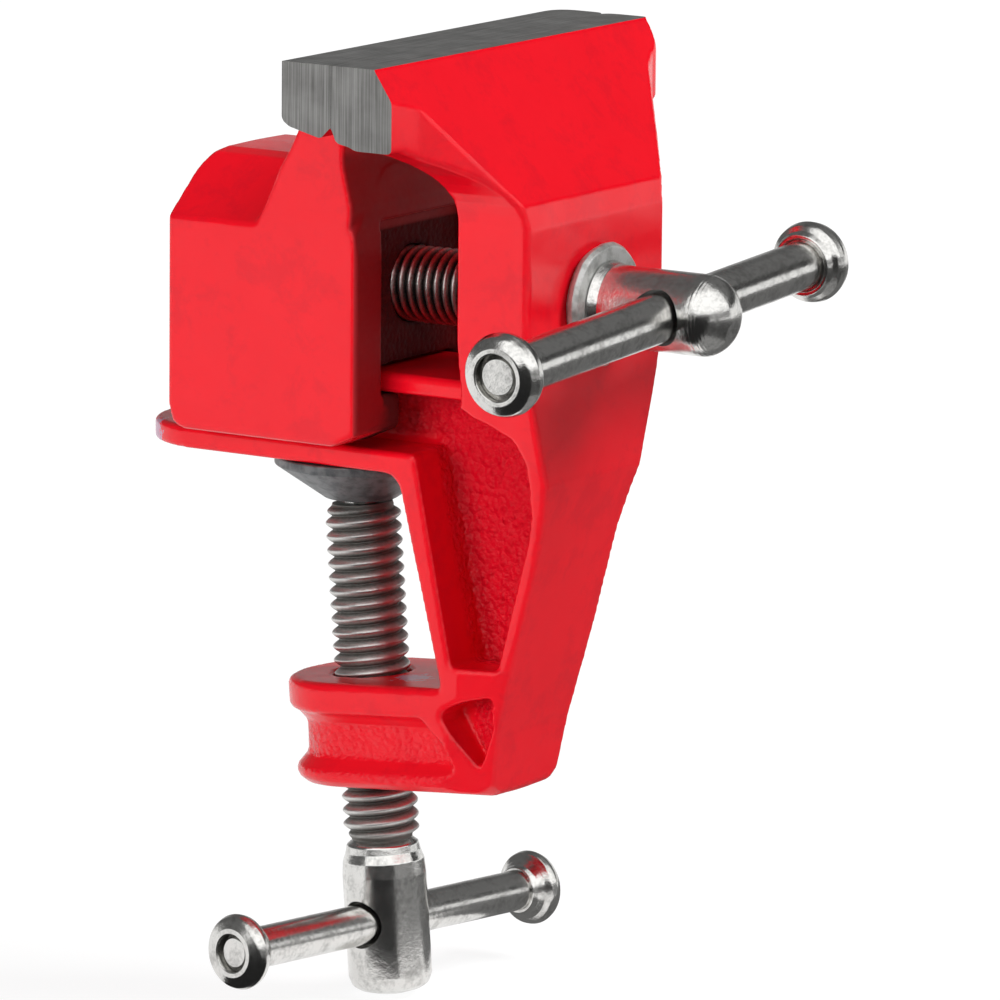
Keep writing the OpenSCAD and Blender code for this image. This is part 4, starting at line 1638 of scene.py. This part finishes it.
@dataclass
class Studio:
    """Pale floor, white background, soft lamps, dark cards and the camera."""

    floor_z: float = -0.0559
    floor_reach: float = 6.0
    cloth_lift: float = 0.0006
    paper: float = 0.86
    glow_share: float = 0.8
    glow_reach: Span = (0.08, 0.6)
    glow_levels: Span = (1.12, 1.25)
    azimuth: float = 33.0
    elevation: float = 10.5
    roll: float = 0.54
    distance: float = 0.91370558
    target: Point = (0.01234566, 0.00698302, -0.00468048)
    lens: float = 324.0
    sensor: float = 36.0

    def white_seen(self, tree: bpy.types.NodeTree) -> Socket:
        """Adds the test for rays that should see the white background.

        Args:
            tree: Node tree of the world or of the floor.

        Returns:
            1 for camera, glossy and transmission rays, otherwise 0.
        """
        path, calc = add_node(tree, "ShaderNodeLightPath").outputs, Sketch(tree).calc
        seen = calc("MAXIMUM", path["Is Camera Ray"], path["Is Glossy Ray"])
        return calc("MAXIMUM", seen, path["Is Transmission Ray"])

    def light_world(self) -> None:
        """Sets a white background that lights nothing: the lamps alone do."""
        world = bpy.data.worlds.new("white_studio")
        bpy.context.scene.world = world
        tree = cleared(world)
        sky = add_node(tree, "ShaderNodeBackground", links={
            "Color": WHITE, "Strength": self.white_seen(tree)})
        add_node(tree, "ShaderNodeOutputWorld", links={"Surface": sky.outputs["Background"]})

    def lay_floor(self) -> Piece:
        """Lays the pale floor, which keeps the vise's shadow.

        Returns:
            The floor.
        """
        material = bpy.data.materials.new("white_paper")
        tree = cleared(material)
        paper = add_node(tree, "ShaderNodeBsdfDiffuse", links={
            "Color": (self.paper, self.paper, self.paper, 1.0)})
        # The lamps light the middle alone, so the glow makes up for it further out
        place = add_node(tree, "ShaderNodeTexCoord").outputs["Object"]
        away = add_node(tree, "ShaderNodeVectorMath", {"operation": "LENGTH"}, {0: place})
        level = Sketch(tree).spread(away.outputs["Value"], self.glow_reach, self.glow_levels)
        glow = add_node(tree, "ShaderNodeEmission", links={"Color": WHITE, "Strength": level})
        share = Sketch(tree).calc("MULTIPLY", self.white_seen(tree), self.glow_share)
        mix = add_node(tree, "ShaderNodeMixShader", links={
            "Fac": share, 1: paper.outputs["BSDF"], 2: glow.outputs["Emission"]})
        add_node(tree, "ShaderNodeOutputMaterial", links={"Surface": mix.outputs["Shader"]})
        mesh, r = bmesh.new(), self.floor_reach
        corners = ((-r, -r), (r, -r), (r, r), (-r, r))
        mesh.faces.new([mesh.verts.new((x, y, self.floor_z)) for x, y in corners])
        return as_object("pale_floor", mesh, materials=[material])

    def set_camera(self) -> Piece:
        """Sets the camera at the photograph's angle.

        Returns:
            The camera.
        """
        turn, tilt = math.radians(self.azimuth), math.radians(self.elevation)
        back = Vector((math.sin(turn) * math.cos(tilt), -math.cos(turn) * math.cos(tilt),
                       math.sin(tilt)))
        right = Vector((math.cos(turn), math.sin(turn), 0.0))
        axes = Matrix((right, back.cross(right), back)).transposed()
        pose = axes @ Matrix.Rotation(math.radians(self.roll), 3, "Z")
        data = bpy.data.cameras.new("camera")
        data.lens, data.sensor_width = self.lens, self.sensor
        data.clip_start, data.clip_end = 0.01, 50.0
        camera = bpy.data.objects.new("camera", data)
        place = Matrix.Translation(Vector(self.target) + back * self.distance)
        camera.matrix_world = place @ pose.to_4x4()
        bpy.context.scene.collection.objects.link(camera)
        bpy.context.scene.camera = camera
        return camera

    def floor_rows(self, near: float, far: float) -> list[Span]:
        """Lays out a cloth's rows just over the floor.

        Args:
            near: Distance of the inner row from the axis in metres.
            far: Distance of the outer row.

        Returns:
            Distance from the axis and height of each row in metres.
        """
        return [(far, self.floor_z + self.cloth_lift), (near, self.floor_z + self.cloth_lift)]

    def build(self) -> None:
        """Sets up the whole studio."""
        self.light_world()
        self.set_camera()
        bpy.context.scene.view_settings.view_transform = "Standard"
        cards = (
            Card("near_card", (-115.0, 35.0), dome_rows(11.0, 70.0), 1.4),
            Card("near_low_card", (-108.0, -28.0), dome_rows(-8.0, 11.0), 0.02),
            Card("front_low_card", (-28.0, 35.0), dome_rows(-2.5, 11.0), 0.25),
            Card("right_low_card", (35.0, 104.0), dome_rows(10.0, 24.0), 0.04),
            Card("right_card", (35.0, 104.0), dome_rows(24.0, 70.0), 0.15),
            Card("far_left_card", (104.0, 150.0), dome_rows(-2.0, 16.0, 1.08), 0.4),
            Card("upper_left_card", (104.0, 245.0), dome_rows(4.0, 88.0), 0.12),
            Card("near_cloth", (-108.0, -28.0), self.floor_rows(0.02, 1.2), 0.02),
            Card("front_cloth_inner", (-28.0, 40.0), self.floor_rows(0.04, 0.11), 0.28),
            Card("front_cloth", (-28.0, 40.0), self.floor_rows(0.11, 0.62), 0.08),
            Card("right_cloth", (40.0, 95.0), self.floor_rows(0.02, 0.62), 0.16))
        stage = [self.lay_floor()] + [card.build() for card in cards]
        for lamp in (Softbox("right_box", 25.0, 45.0, 7.6), Softbox("near_box", 260.0, 12.0, 5.4),
                     Softbox("front_box", 300.0, 38.0, 1.0)):
            lamp.build()
        LOG.info("studio with %d stage pieces", len(stage))


# The vise

def castings() -> None:
    """Builds both castings."""
    top = GroundFace((0, 0, 43.3), (0, 0, 1), Skin.TOP)
    near = GroundFace((0, -25.0, 0), (0, -1, 0), Skin.END)
    neck_top = 34.9
    lead_hole = Bore((0, 0, 18.0), (1, 0, 0), 4.0, -16.0, 30.0)
    clamp_hole = Bore((0, 0, -2.4), (0.0784591, 0, -0.9969173), 4.0, 16.0, 36.0)
    # Pale spots: the seat's end is rubbed through to primer, and the arm's top gets a painted reflection
    spots = (WearAndSheenSpot((-21.0, -6.5, 1.0), 2.4), WearAndSheenSpot((8.6, -3.0, -21.9), 3.0))
    ground = (GroundIron("cast_iron_belt_ground"),
              GroundIron("cast_iron_top_belt_ground", "#CFCECC", "#7A7977"),
              GroundIron("cast_iron_jaw_face_ground", stroke=Stroke.ALONG_Y))
    FrameCasting(
        node="frame", body="frame", name="frame_casting", grid=0.25,
        faces=(top, near, GroundFace((13.0, 0, 0), (-1, 0, 0), Skin.JAW_FACE, neck_top)),
        bores=(lead_hole, clamp_hole),
        skins=(StovedEnamel("enamel_stoved_on_frame", spots=spots), *ground)).build()
    MovingJawCasting(
        node="moving_jaw", body="moving_jaw", name="moving_jaw_casting", grid=0.23,
        faces=(top, near, GroundFace((12.96, 0, 0), (1, 0, 0), Skin.JAW_FACE, neck_top)),
        bores=(lead_hole,),
        skins=(StovedEnamel("enamel_stoved_on_jaw"), *ground)).build()


def turned_pieces() -> None:
    """Builds the screws, bars, washers, clip and pad."""
    plate = BarrelPlate("nickel_barrel_plated")
    lead = LeadScrew()
    # The lead screw's thread is darker on its flanks and in its roots than the clamp screw's
    lead.build(DepthToneThread("steel_thread_rolled_dark_roots", "#E4E3E0", "#8E8C89", "#33312F", 0.3), plate)
    clamp = ClampScrew()
    clamp.build(DepthToneThread("steel_thread_rolled"), plate)
    lead_cap = ((2.52, 0.1, 0.05), (2.52, 1.36, 0.05), (2.3, 1.5, 0.06), (2.34, 1.79, 0.16),
                (2.9, 1.79, 0.5), (3.9, 1.25, 0.8), (4.19, 0.2, 0.7), (4.0, -0.7, 0.6),
                (3.4, -1.2, 0.4), (3.15, -1.83, 0.4), (2.8, -1.83, 0.15), (2.6, -1.55, 0.05),
                (2.52, -1.55, 0.0))
    SlidingBar("lead_bar", lead.bar_place(-2.5), 2.5, 56.6, 3.7, lead_cap).build(plate)
    clamp_cap = ((2.12, 0.0, 0.05), (2.12, 0.86, 0.05), (1.92, 1.0, 0.06), (1.98, 1.29, 0.14),
                 (2.5, 1.29, 0.35), (3.55, 0.9, 0.7), (3.88, 0.1, 0.6), (3.7, -0.6, 0.5),
                 (3.1, -1.0, 0.5), (2.6, -1.6, 0.5), (2.38, -2.18, 0.3), (2.12, -2.18, 0.0))
    SlidingBar("clamp_bar", clamp.bar_place(), 2.1, 44.0, 2.6, clamp_cap).build(plate)
    strip = StampedSteel("steel_stamped_tumbled")
    for name, sizes in (("outer_washer", (6.28, 28.15, 29.65, 0.25, 5.2)),
                        ("inner_washer", (6.18, 18.6, 19.6, 0.2, 1.7))):
        washer = StampedWasher(name, "lead_screw", "stamped", "washer_steel", *sizes)
        washer.build(strip.build(), lead.place())
    blacked = StampedSteel("spring_steel_oil_blacked", "#6F7274", "#4A4C4E", 0.4)
    RetainingClip("retaining_clip", "lead_screw", "sprung", "spring_steel").build(blacked.build())
    oxide = StampedSteel("steel_turned_oxide_black", "#77797A", "#55585A", 0.45)
    SwivelPad("swivel_pad", "swivel_pad", "turned", "pad_steel").build(oxide.build())


def main() -> None:
    """Builds the vise and its studio."""
    logging.basicConfig(level=logging.INFO, format="%(name)s: %(message)s")
    castings()
    turned_pieces()
    Studio().build()


if __name__ == "__main__":
    main()
